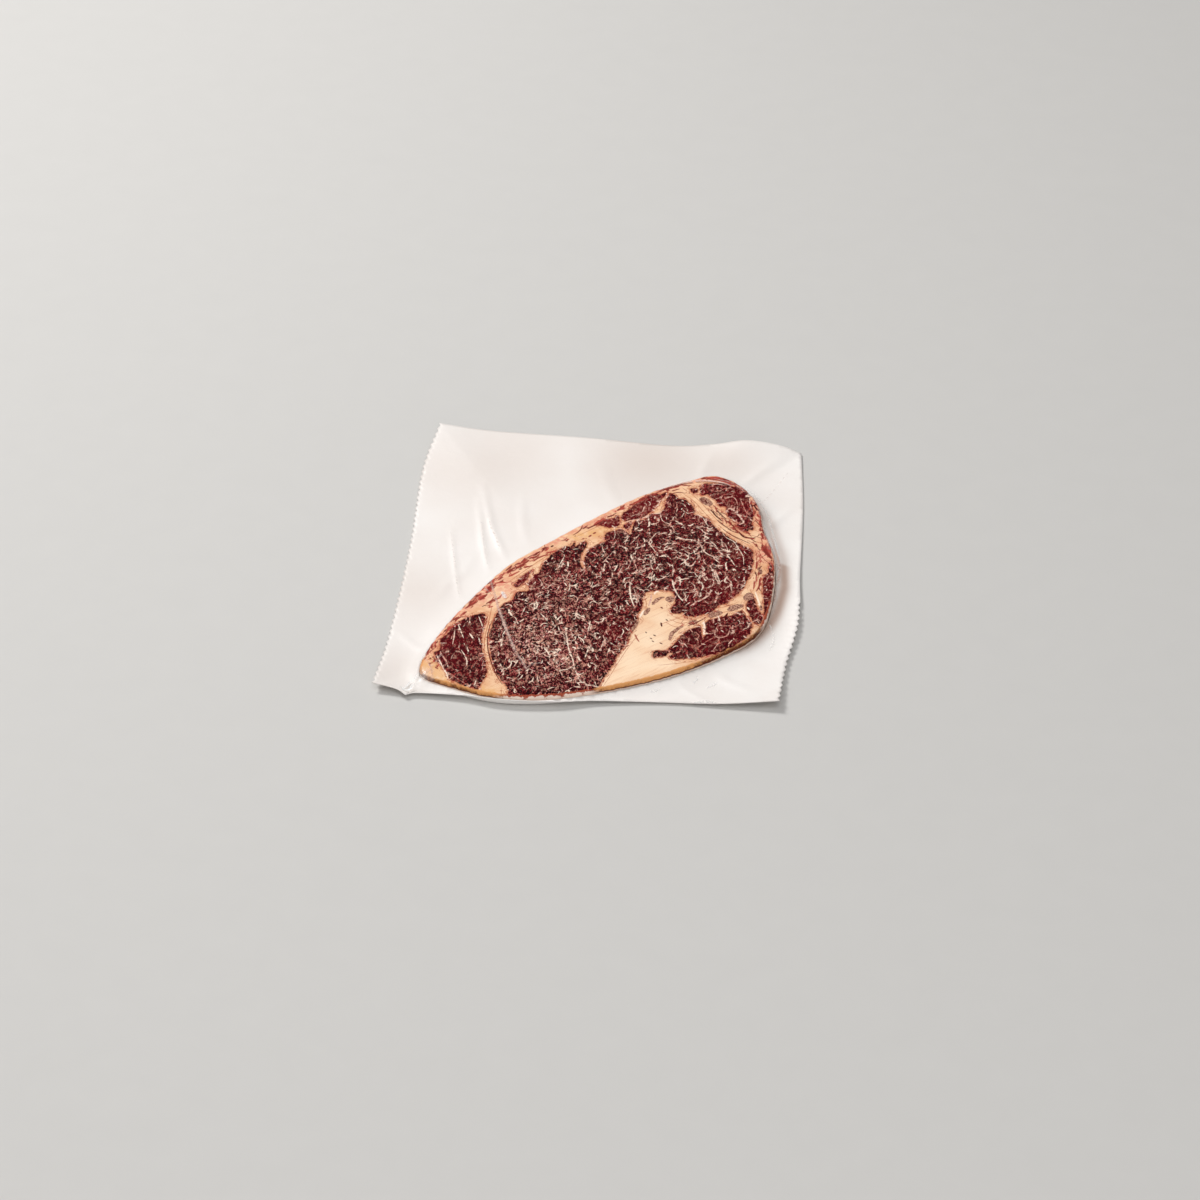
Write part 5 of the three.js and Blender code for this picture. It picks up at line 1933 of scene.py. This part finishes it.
class Graph:
    """A material's or a group's nodes, added one by one."""

    def __init__(self, tree: bpy.types.NodeTree) -> None:
        """Keeps the tree that nodes are added to, as yet with no place to draw patterns on."""
        self.tree = tree
        self.place: Wire | None = None

    def add(
        self, kind: str, feeds: dict[str | int, object] | None = None, **settings: object
    ) -> bpy.types.Node:
        """Adds a node.

        Args:
            kind: Its type.
            feeds: What goes into its sockets, by their names or numbers.
            settings: Its properties.

        Returns:
            The node.
        """
        node = self.tree.nodes.new(kind)
        for name, value in settings.items():
            setattr(node, name, value)
        for key, source in (feeds or {}).items():
            self.feed(node, key, source)
        return node

    def feed(self, node: bpy.types.Node, key: str | int, source: object) -> None:
        """Feeds a node's socket from a wire, or sets it to a plain value.

        Args:
            node: The node.
            key: The socket's name or number.
            source: The wire or the value.
        """
        if isinstance(source, Wire):
            self.tree.links.new(source.socket, node.inputs[key])
        else:
            node.inputs[key].default_value = source

    def math(self, operation: str, *values: Wire | float) -> Wire:
        """Adds a Math node that works on one number or two."""
        node = self.add("ShaderNodeMath", dict(enumerate(values)), operation=operation)
        return Wire(self, node.outputs[0])

    def blend(self, share: Wire | float, first: Wire | Colour, second: Wire | Colour) -> Wire:
        """Mixes two colours, with as much of the second as the share says."""
        feeds = {"Factor": share, MIX_FIRST: first, MIX_SECOND: second}
        return Wire(self, self.add("ShaderNodeMix", feeds, data_type="RGBA").outputs[MIX_RESULT])

    def noise(
        self,
        scale: Wire | float,
        detail: float = 2.0,
        rough: float = 0.5,
        twist: float = 0.0,
        place: Wire | None = None,
    ) -> Wire:
        """Adds noise, from 0 to 1 and even about 0.5.

        Args:
            scale: Its lumps in a millimetre.
            detail: How many finer layers it has.
            rough: Strength of each layer beside the one before.
            twist: How far its lumps are twisted.
            place: Where it is read, if that isn't the piece's own place.

        Returns:
            The noise.
        """
        feeds = {"Vector": place or self.place, "Scale": scale, "Detail": detail}
        feeds |= {"Roughness": rough, "Distortion": twist}
        return Wire(self, self.add("ShaderNodeTexNoise", feeds).outputs["Fac"])

    def number(self, name: str) -> Wire:
        """Reads a number painted on the mesh."""
        return Wire(self, self.add("ShaderNodeAttribute", attribute_name=name).outputs["Fac"])

    def wobble(self, scale: float, amount: float) -> Wire:
        """Adds noise that is even about 0 and about as large as the amount."""
        return (self.noise(scale, 4.0, 0.62) - 0.5) * (4 * amount)

    def stroke(self, name: str, wobble: Wire, soft: float, room: float = 0.36) -> Wire:
        """Tells how much of a place a painted streak covers.

        Args:
            name: Name of the painted streaks.
            wobble: Millimetres to add to the streak's half-width.
            soft: Half the width of its soft edge.
            room: How far outside the streak the mesh may still place it.

        Returns:
            0 outside the streak and 1 inside it.
        """
        core = self.number(name + "_half") - self.math("ABSOLUTE", self.number(name + "_aside"))
        depth = self.math("MINIMUM", core, self.number(name) + room) + wobble
        return depth.rise(-soft, soft)

    def millimetres(
        self, stretch: tuple[float, float, float] = (1, 1, 1), turn: float = 0.0
    ) -> Wire:
        """Gives the places on the piece.

        Args:
            stretch: Stretch of the finished places along X, Y and Z.
            turn: Angle in degrees by which they are turned back before that.

        Returns:
            The places in millimetres.
        """
        place = Wire(self, self.add("ShaderNodeTexCoord").outputs["Object"])
        for angle, scale in ((-math.radians(turn), (1 / MM,) * 3), (0.0, stretch)):
            feeds = {"Vector": place, "Rotation": (0.0, 0.0, angle), "Scale": scale}
            place = Wire(self, self.add("ShaderNodeMapping", feeds).outputs["Vector"])
        return place

    def bump(self, shader: bpy.types.Node, height: Wire, strength: float, most: float) -> None:
        """Bumps a shader's surface.

        Args:
            shader: The shader.
            height: How high each place stands, from 0 to 1.
            strength: How much of the bump shows.
            most: The greatest height in millimetres.
        """
        node = self.add(
            "ShaderNodeBump", {"Strength": strength, "Distance": most * MM, "Height": height}
        )
        self.feed(shader, "Normal", Wire(self, node.outputs["Normal"]))


def new_material(
    name: str, rough: float, specular: float = 0.5
) -> tuple[Graph, bpy.types.Node, bpy.types.Material]:
    """Makes a material with one Principled shader.

    Args:
        name: The material's name.
        rough: Roughness of its surface.
        specular: Strength of its gloss.

    Returns:
        Its graph, the shader and the material.
    """
    material = bpy.data.materials.new(name)
    material.use_nodes = True
    graph, shader = Graph(material.node_tree), material.node_tree.nodes["Principled BSDF"]
    graph.place = graph.millimetres()
    graph.feed(shader, "Roughness", rough)
    graph.feed(shader, "Specular IOR Level", specular)
    return graph, shader, material


def threads_group() -> bpy.types.NodeTree:
    """Builds the group that draws fine broken threads where noise crosses its middle.

    Returns:
        The group.
    """
    made = bpy.data.node_groups.new("fine_threads", "ShaderNodeTree")
    made.interface.new_socket("Place", in_out="INPUT", socket_type="NodeSocketVector")
    for name in ("Scale", "Width", "Breaks"):
        made.interface.new_socket(name, in_out="INPUT", socket_type="NodeSocketFloat")
    made.interface.new_socket("Threads", in_out="OUTPUT", socket_type="NodeSocketFloat")
    graph = Graph(made)
    given = graph.add("NodeGroupInput").outputs
    graph.place = Wire(graph, given["Place"])
    scale, width, breaks = (Wire(graph, given[name]) for name in ("Scale", "Width", "Breaks"))
    off = graph.math("ABSOLUTE", graph.noise(scale, 1.5, twist=0.8) - 0.5)
    kept = graph.noise(0.55).rise(breaks, 0.62)
    graph.add("NodeGroupOutput", {"Threads": off.rise(width, 0.0) * kept})
    return made


@dataclass(frozen=True)
class MeatFinish:
    """Lean, marbling, fat, gristle and rind, as the cut face's painted numbers tell.

    The fields that hold a colour are named for what shows it.

    Attributes:
        view_stretch: Stretch of the lean's pattern along X, Y and Z.
        mottles: Noise that mottles the lean, each its scale, detail, twist and weight.
        hairs: The two sets of fine threads in the lean, each its scale, width and breaks.
        middle_at: Mottling between which the dark of the lean turns to its middle tone.
        light_at: Mottling between which the middle tone turns to the light one.
        bloom: How much the painted sheen of the film and grey add to the mottling, and plain takes from it.
        fibre_stretch: Stretch of the fibres in the fat.
        fibre_turn: Their direction in degrees.
    """

    lean_dark: Colour = linear(24, 1, 5)
    lean_red: Colour = linear(98, 4, 14)
    lean_mid: Colour = linear(98, 13, 21)
    lean_light: Colour = linear(160, 66, 62)
    lean_grey: Colour = linear(190, 130, 122)
    thread: Colour = linear(228, 168, 144)
    streak: Colour = linear(190, 94, 78)
    streak_pale: Colour = linear(255, 232, 210)
    fat: Colour = linear(248, 208, 170)
    fat_bright: Colour = linear(255, 226, 194)
    fat_deep: Colour = linear(230, 172, 130)
    fat_rosy: Colour = linear(228, 138, 120)
    fat_golden: Colour = linear(236, 182, 124)
    fat_edge: Colour = linear(188, 106, 74)
    blood: Colour = linear(84, 14, 16)
    blood_light: Colour = linear(186, 80, 68)
    gristle: Colour = linear(204, 158, 134)
    gristle_dark: Colour = linear(118, 70, 58)
    rind: Colour = linear(226, 160, 100)
    rind_dark: Colour = linear(104, 52, 32)
    rim_line: Colour = linear(176, 84, 60)
    # The side's pale cream, made lighter as a painted reflection of the film over it.
    side: Colour = linear(255, 234, 218)
    view_stretch: tuple[float, float, float] = (1.0, 0.62, 1.0)
    mottles: Places = ((0.15, 2.0, 0.0, 0.18), (0.42, 2.0, 0.8, 0.18), (1.3, 0.5, 0.4, 0.64))
    hairs: Places = ((0.3, 0.06, 0.44), (0.6, 0.08, 0.48))
    middle_at: tuple[float, float] = (0.5, 0.54)
    light_at: tuple[float, float] = (0.585, 0.64)
    bloom: tuple[float, float, float] = (0.042, 0.06, 0.035)
    fibre_stretch: tuple[float, float, float] = (0.1, 1.1, 1.0)
    fibre_turn: float = 42.0

    def build(self, threads: bpy.types.NodeTree) -> bpy.types.Material:
        """Makes the material.

        Args:
            threads: The group that draws fine threads.

        Returns:
            The material.
        """
        graph, shader, material = new_material("marbled_raw_beef", 0.3, 0.03)
        grain = self.grain(graph)
        edge = graph.number("lean") + graph.wobble(0.5, 0.75)
        lean = self.lean(graph, grain, edge, threads)
        colour = graph.blend(edge.rise(-0.12, 0.22), self.fat_tone(graph, edge), lean)
        colour = self.marks(graph, self.marbling(graph, edge, colour))
        graph.feed(shader, "Base Color", self.rim(graph, colour))
        graph.bump(shader, grain + graph.number("streak").rise(-0.3, 0.3), 0.35, 0.25)
        return material

    def grain(self, graph: Graph) -> Wire:
        """Mottles the lean, coarsely and finely.

        Args:
            graph: The material's graph.

        Returns:
            The mottling, even about 0.5.
        """
        flat = graph.millimetres(self.view_stretch)
        broad, middle, fine = (
            graph.noise(scale, detail, 0.5, twist, flat) * weight
            for scale, detail, twist, weight in self.mottles
        )
        return broad + middle + fine

    def lean(self, graph: Graph, grain: Wire, edge: Wire, threads: bpy.types.NodeTree) -> Wire:
        """Colours the lean: maroon mottled with red, wine and a greyish bloom, which is partly a painted
        sheen of the film.

        Args:
            graph: The material's graph.
            grain: Mottling of the lean.
            edge: Depth in the lean.
            threads: The group that draws fine threads.

        Returns:
            The lean's colour.
        """
        # The film's painted sheen greys and lightens the lean in patches, and shows its fine threads more
        # there.
        painted_film_sheen, grey = graph.number("painted_film_sheen"), graph.number("grey")
        red = graph.number("red") + graph.wobble(0.11, 0.3)
        dark = graph.blend(red.rise(-0.2, 0.9), self.lean_dark, self.lean_red)
        tone = graph.blend(grain.rise(*self.middle_at), dark, self.lean_mid)
        light = graph.blend(graph.math("MAXIMUM", painted_film_sheen, grey), self.lean_light, self.lean_grey)
        by_film_sheen, by_grey, by_plain = self.bloom
        bloomed = grain + painted_film_sheen * by_film_sheen + grey * by_grey - graph.number("plain") * by_plain
        tone = graph.blend(bloomed.rise(*self.light_at), tone, light)
        flat = graph.millimetres(self.view_stretch)
        for scale, width, breaks in self.hairs:
            feeds = {"Place": flat, "Scale": scale, "Width": width, "Breaks": breaks}
            node = graph.add("ShaderNodeGroup", feeds, node_tree=threads)
            share = Wire(graph, node.outputs["Threads"]) * (painted_film_sheen * 0.5 + 0.28)
            tone = graph.blend(share, tone, self.thread)
        return graph.blend((1.0 - edge.rise(0.1, 1.0)) * 0.6, tone, dark)

    def marbling(self, graph: Graph, edge: Wire, colour: Wire) -> Wire:
        """Adds the streaks of marbling, which break up a little in the lean.

        Args:
            graph: The material's graph.
            edge: Depth in the lean.
            colour: Colour of lean and fat.

        Returns:
            The colour with the streaks.
        """
        pale = graph.number("pale") + graph.wobble(0.7, 0.4)
        streak = graph.blend(pale.rise(0.0, 1.0), self.streak, self.streak_pale)
        kept = graph.noise(0.5, 3.0, 0.6).rise(0.3, 0.52)
        kept = graph.math("MAXIMUM", kept, edge.rise(0.4, -0.4))
        return graph.blend(graph.stroke("streak", graph.wobble(0.9, 0.16), 0.14) * kept, colour, streak)

    def fat_tone(self, graph: Graph, edge: Wire) -> Wire:
        """Colours the fat: cream, with rosy and golden patches, fine lines and a darker edge.

        Args:
            graph: The material's graph.
            edge: Depth in the lean, negative in the fat.

        Returns:
            The fat's colour.
        """
        bright = graph.number("bright") * 0.95
        fat = graph.blend(graph.noise(0.09, 3.0, 0.55).rise(0.35, 0.75), self.fat, self.fat_deep)
        fat = graph.blend(bright, fat, self.fat_bright)
        along = graph.millimetres(self.fibre_stretch, self.fibre_turn)
        fibre = graph.noise(0.8, 3.0, 0.6, place=along).rise(0.5, 0.68)
        fat = graph.blend(fibre * (0.5 - bright * 0.2), fat, self.fat_deep)
        patches = graph.noise(0.4, 4.0, 0.65).rise(0.36, 0.6)
        fat = graph.blend(graph.number("rosy") * patches, fat, self.fat_rosy)
        patches = graph.noise(0.3, 3.0).rise(0.25, 0.6)
        fat = graph.blend(graph.number("golden") * patches, fat, self.fat_golden)
        fat = graph.blend(edge.rise(-1.5, -0.1) * 0.8, fat, self.fat_edge)
        sheet = graph.math("PINGPONG", edge + graph.wobble(0.2, 1.6), 0.6).rise(0.34, 0.12)
        beside = edge.rise(-3.8, -3.2) * sheet * graph.noise(0.2, 3.0, 0.6).rise(0.44, 0.6)
        fat = graph.blend(beside * (0.85 - bright * 0.75), fat, self.fat_edge)
        lines = graph.stroke("layers", graph.wobble(1.2, 0.12), 0.14)
        return graph.blend(lines * 0.75, fat, self.fat_edge)

    def marks(self, graph: Graph, colour: Wire) -> Wire:
        """Adds gristle and blood over lean and fat.

        Args:
            graph: The material's graph.
            colour: Colour of lean, fat and marbling.

        Returns:
            The colour with both.
        """
        speckle = graph.noise(1.1, 4.0, 0.7).rise(0.44, 0.56)
        gristle = graph.blend(speckle, self.gristle_dark, self.gristle)
        depth = graph.number("tissue") + graph.wobble(0.6, 0.4)
        gristle = graph.blend((1.0 - depth.rise(0.2, 0.6)) * 0.35, gristle, self.gristle_dark)
        colour = graph.blend(depth.rise(-0.1, 0.25), colour, gristle)
        blood = graph.blend(graph.number("deep"), self.blood_light, self.blood)
        return graph.blend(graph.stroke("blood", graph.wobble(1.1, 0.12), 0.16), colour, blood)

    def rim(self, graph: Graph, colour: Wire) -> Wire:
        """Adds the rind at the near edge, a stained line elsewhere and the paler side below.

        Args:
            graph: The material's graph.
            colour: Colour of the cut face.

        Returns:
            The colour of all the meat.
        """
        bark = graph.noise(0.4, 4.0, 0.65) - 0.5
        umber, bare, down = (graph.number(name) for name in ("umber", "bare", "down"))
        near = graph.number("rind").rise(0.25, 0.6)
        inset = graph.number("inset") + bark * 2.4
        dark = (umber + bark * 2.0 + down * 1.6).rise(0.2, 1.2)
        rind = graph.blend(dark, self.rind, self.rind_dark)
        band = 1.0 - (inset + umber * 1.1).rise(1.3, 2.1)
        colour = graph.blend(band * near, colour, rind)
        stained = bare * umber.rise(-0.2, 0.6)
        colour = graph.blend((1.0 - inset.rise(1.2, 1.6)) * stained, colour, self.rim_line)
        lower = down + bark * 0.16
        colour = graph.blend(lower.rise(0.3, 0.35) * near, colour, self.rind_dark)
        # Below, the side and the outer edge of bare lean at the rim take a near-white tone: their own pale
        # cream with a painted reflection of the film.
        side = graph.math("MAXIMUM", bare * (1.0 - inset.rise(0.3, 0.6)), lower.rise(0.42, 0.47))
        return graph.blend(side * 0.95, colour, self.side)


@dataclass(frozen=True)
class WebFinish:
    """Opaque warm white film of the pouch's back, with painted shade and a painted warm shadow of the steak
    on it.
    """

    tone: Colour = linear(249, 244, 240)
    cloudy: Colour = linear(244, 237, 232)
    shade: Colour = linear(228, 216, 208)
    painted_warm_shadow: Colour = linear(180, 147, 129)

    def build(self) -> bpy.types.Material:
        """Makes the material.

        Returns:
            The material.
        """
        graph, shader, material = new_material("white_pouch_web", 0.42, 0.4)
        tone = graph.blend(graph.noise(0.02, 3.0).rise(0.35, 0.7), self.tone, self.cloudy)
        # Painted shade in soft patches, then the steak's painted warm shadow beside its right side.
        tone = graph.blend(graph.number("shade"), tone, self.shade)
        graph.feed(shader, "Base Color", graph.blend(graph.number("painted_warm_shadow"), tone, self.painted_warm_shadow))
        graph.bump(shader, graph.noise(0.14, 3.0, 0.5, 0.6), 0.25, 0.6)
        return material


@dataclass(frozen=True)
class FilmFinish:
    """Clear tight film: all but unseen, with pale lines where it is creased.

    Attributes:
        tone: Its colour where it is plain.
        crease: Its colour on a pressed line.
        covers: How much lines, glints and the bunched fold hide.
        sheen: How much the film hides where it is seen edge on.
    """

    tone: Colour = linear(255, 254, 252)
    crease: Colour = linear(240, 205, 190)
    covers: tuple[float, float, float] = (0.62, 0.95, 0.12)
    sheen: float = 0.06

    def build(self) -> bpy.types.Material:
        """Makes the material.

        Returns:
            The material.
        """
        graph, shader, material = new_material("clear_pouch_film", 0.14)
        line = graph.number("line")
        tone = graph.blend(line.rise(0.05, 0.3), self.tone, self.crease)
        graph.feed(shader, "Base Color", tone)
        facing = graph.add("ShaderNodeLayerWeight", {"Blend": 0.25}).outputs["Facing"]
        patchy = graph.noise(0.5, 3.0, 0.6).rise(0.3, 0.6)
        by_line, by_glint, by_fold = self.covers
        cover = graph.math("POWER", Wire(graph, facing), 3.0) * self.sheen
        cover = cover + (line * by_line + graph.number("glint") * by_glint) * patchy
        cover = cover + graph.number("fold") * by_fold + 0.001
        graph.feed(shader, "Alpha", graph.math("MINIMUM", cover, 0.95))
        graph.bump(shader, graph.noise(0.25, 3.0, 0.5, 0.8), 0.3, 0.4)
        return material


@dataclass(frozen=True)
class FloorFinish:
    """Plain pale floor with a faint grain.

    Attributes:
        tone: Its colour.
        dim: Share of the tone that the grain's darker parts have.
    """

    tone: Colour = linear(206, 204, 201)
    dim: float = 0.97

    def build(self) -> bpy.types.Material:
        """Makes the material.

        Returns:
            The material.
        """
        graph, shader, material = new_material("pale_floor", 0.7)
        darker = (*(self.dim * c for c in self.tone[:3]), 1.0)
        graph.feed(shader, "Base Color", graph.blend(graph.noise(0.05), self.tone, darker))
        return material


# ---------------------------------------------------------------------------------------------
# Studio


@dataclass(frozen=True)
class Lamp:
    """A square area light that faces the pouch.

    Attributes:
        name: Its name.
        at: Its place in metres.
        size: Its side in metres.
        power: Its power in watts.
        tone: Its colour.
    """

    name: str
    at: tuple[float, float, float]
    size: float
    power: float
    tone: tuple[float, float, float] = (1.0, 1.0, 1.0)

    def hang(self) -> None:
        """Adds the light to the scene, turned to the pouch."""
        data = bpy.data.lights.new(self.name, "AREA")
        data.shape = "SQUARE"
        data.size = self.size
        data.energy = self.power
        data.color = self.tone
        lamp = bpy.data.objects.new(self.name, data)
        lamp.location = self.at
        lamp.rotation_euler = (-Vector(self.at)).to_track_quat("-Z", "Y").to_euler()
        bpy.context.scene.collection.objects.link(lamp)


@dataclass(frozen=True)
class Studio:
    """Floor, soft lights and the camera.

    Attributes:
        lamps: The lights.
        camera_at: The camera's place in metres.
        camera_turn: Its rotation in degrees.
        lens: Its focal length in millimetres.
        sensor: Width of its sensor in millimetres.
        sight: How far it sees, in metres.
        floor_size: Side of the floor in metres.
        world_light: Strength of the light from all round.
    """

    lamps: tuple[Lamp, ...] = (
        Lamp("key", (-1.3, 1.2, 1.9), 0.8, 46.5, (1.0, 0.995, 0.985)),
        Lamp("overhead", (0.2, -0.9, 2.5), 2.4, 27.0),
        Lamp("front", (0.6, -2.4, 0.9), 1.6, 13.0),
    )
    camera_at: tuple[float, float, float] = (0.15804, -1.68127, 1.20505)
    camera_turn: tuple[float, float, float] = (54.0, 0.0, 5.4)
    lens: float = 110.25
    sensor: float = 36.0
    sight: float = 60.0
    floor_size: float = 14.0
    world_light: float = 0.2

    def floor(self) -> None:
        """Lays the floor on which the pouch lies."""
        bpy.ops.object.select_all(action="DESELECT")
        bpy.ops.mesh.primitive_plane_add(size=self.floor_size, location=(0, 0, 0))
        floor = bpy.context.object
        floor.name = "floor"
        floor.data.materials.append(FloorFinish().build())

    def build(self) -> None:
        """Sets up floor, lights, world and camera."""
        self.floor()
        for lamp in self.lamps:
            lamp.hang()
        world = bpy.data.worlds.new("soft_daylight")
        world.use_nodes = True
        sky = world.node_tree.nodes["Background"]
        sky.inputs["Color"].default_value = (1.0, 1.0, 1.0, 1.0)
        sky.inputs["Strength"].default_value = self.world_light
        scene = bpy.context.scene
        scene.world = world
        scene.view_settings.view_transform = "Standard"
        data = bpy.data.cameras.new("camera")
        data.lens = self.lens
        data.sensor_width = self.sensor
        data.clip_end = self.sight
        camera = bpy.data.objects.new("camera", data)
        camera.location = self.camera_at
        camera.rotation_euler = tuple(math.radians(a) for a in self.camera_turn)
        scene.collection.objects.link(camera)
        scene.camera = camera


# ---------------------------------------------------------------------------------------------


def dress(piece: bpy.types.Object, node: str, material: bpy.types.Material) -> None:
    """Gives a finished piece its material, and puts it in place of a plain solid.

    Args:
        piece: The new piece.
        node: The solid that it stands for.
        material: Its finish.
    """
    piece.data.materials.append(material)
    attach(piece, "root")
    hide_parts(node)
    LOG.info("%s: %d triangles", piece.name, sum(len(f.vertices) - 2 for f in piece.data.polygons))


def main() -> None:
    """Builds the pack and the studio."""
    logging.basicConfig(level=logging.INFO, format="%(name)s: %(message)s")
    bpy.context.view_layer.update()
    shape = SteakShape()
    sheets = Sheets(Drape(shape, PouchShape()))
    dress(Steak(shape).build(), "steak", MeatFinish().build(threads_group()))
    dress(sheets.web(), "white_web", WebFinish().build())
    dress(sheets.film(), "clear_film", FilmFinish().build())
    Studio().build()


if __name__ == "__main__":
    main()
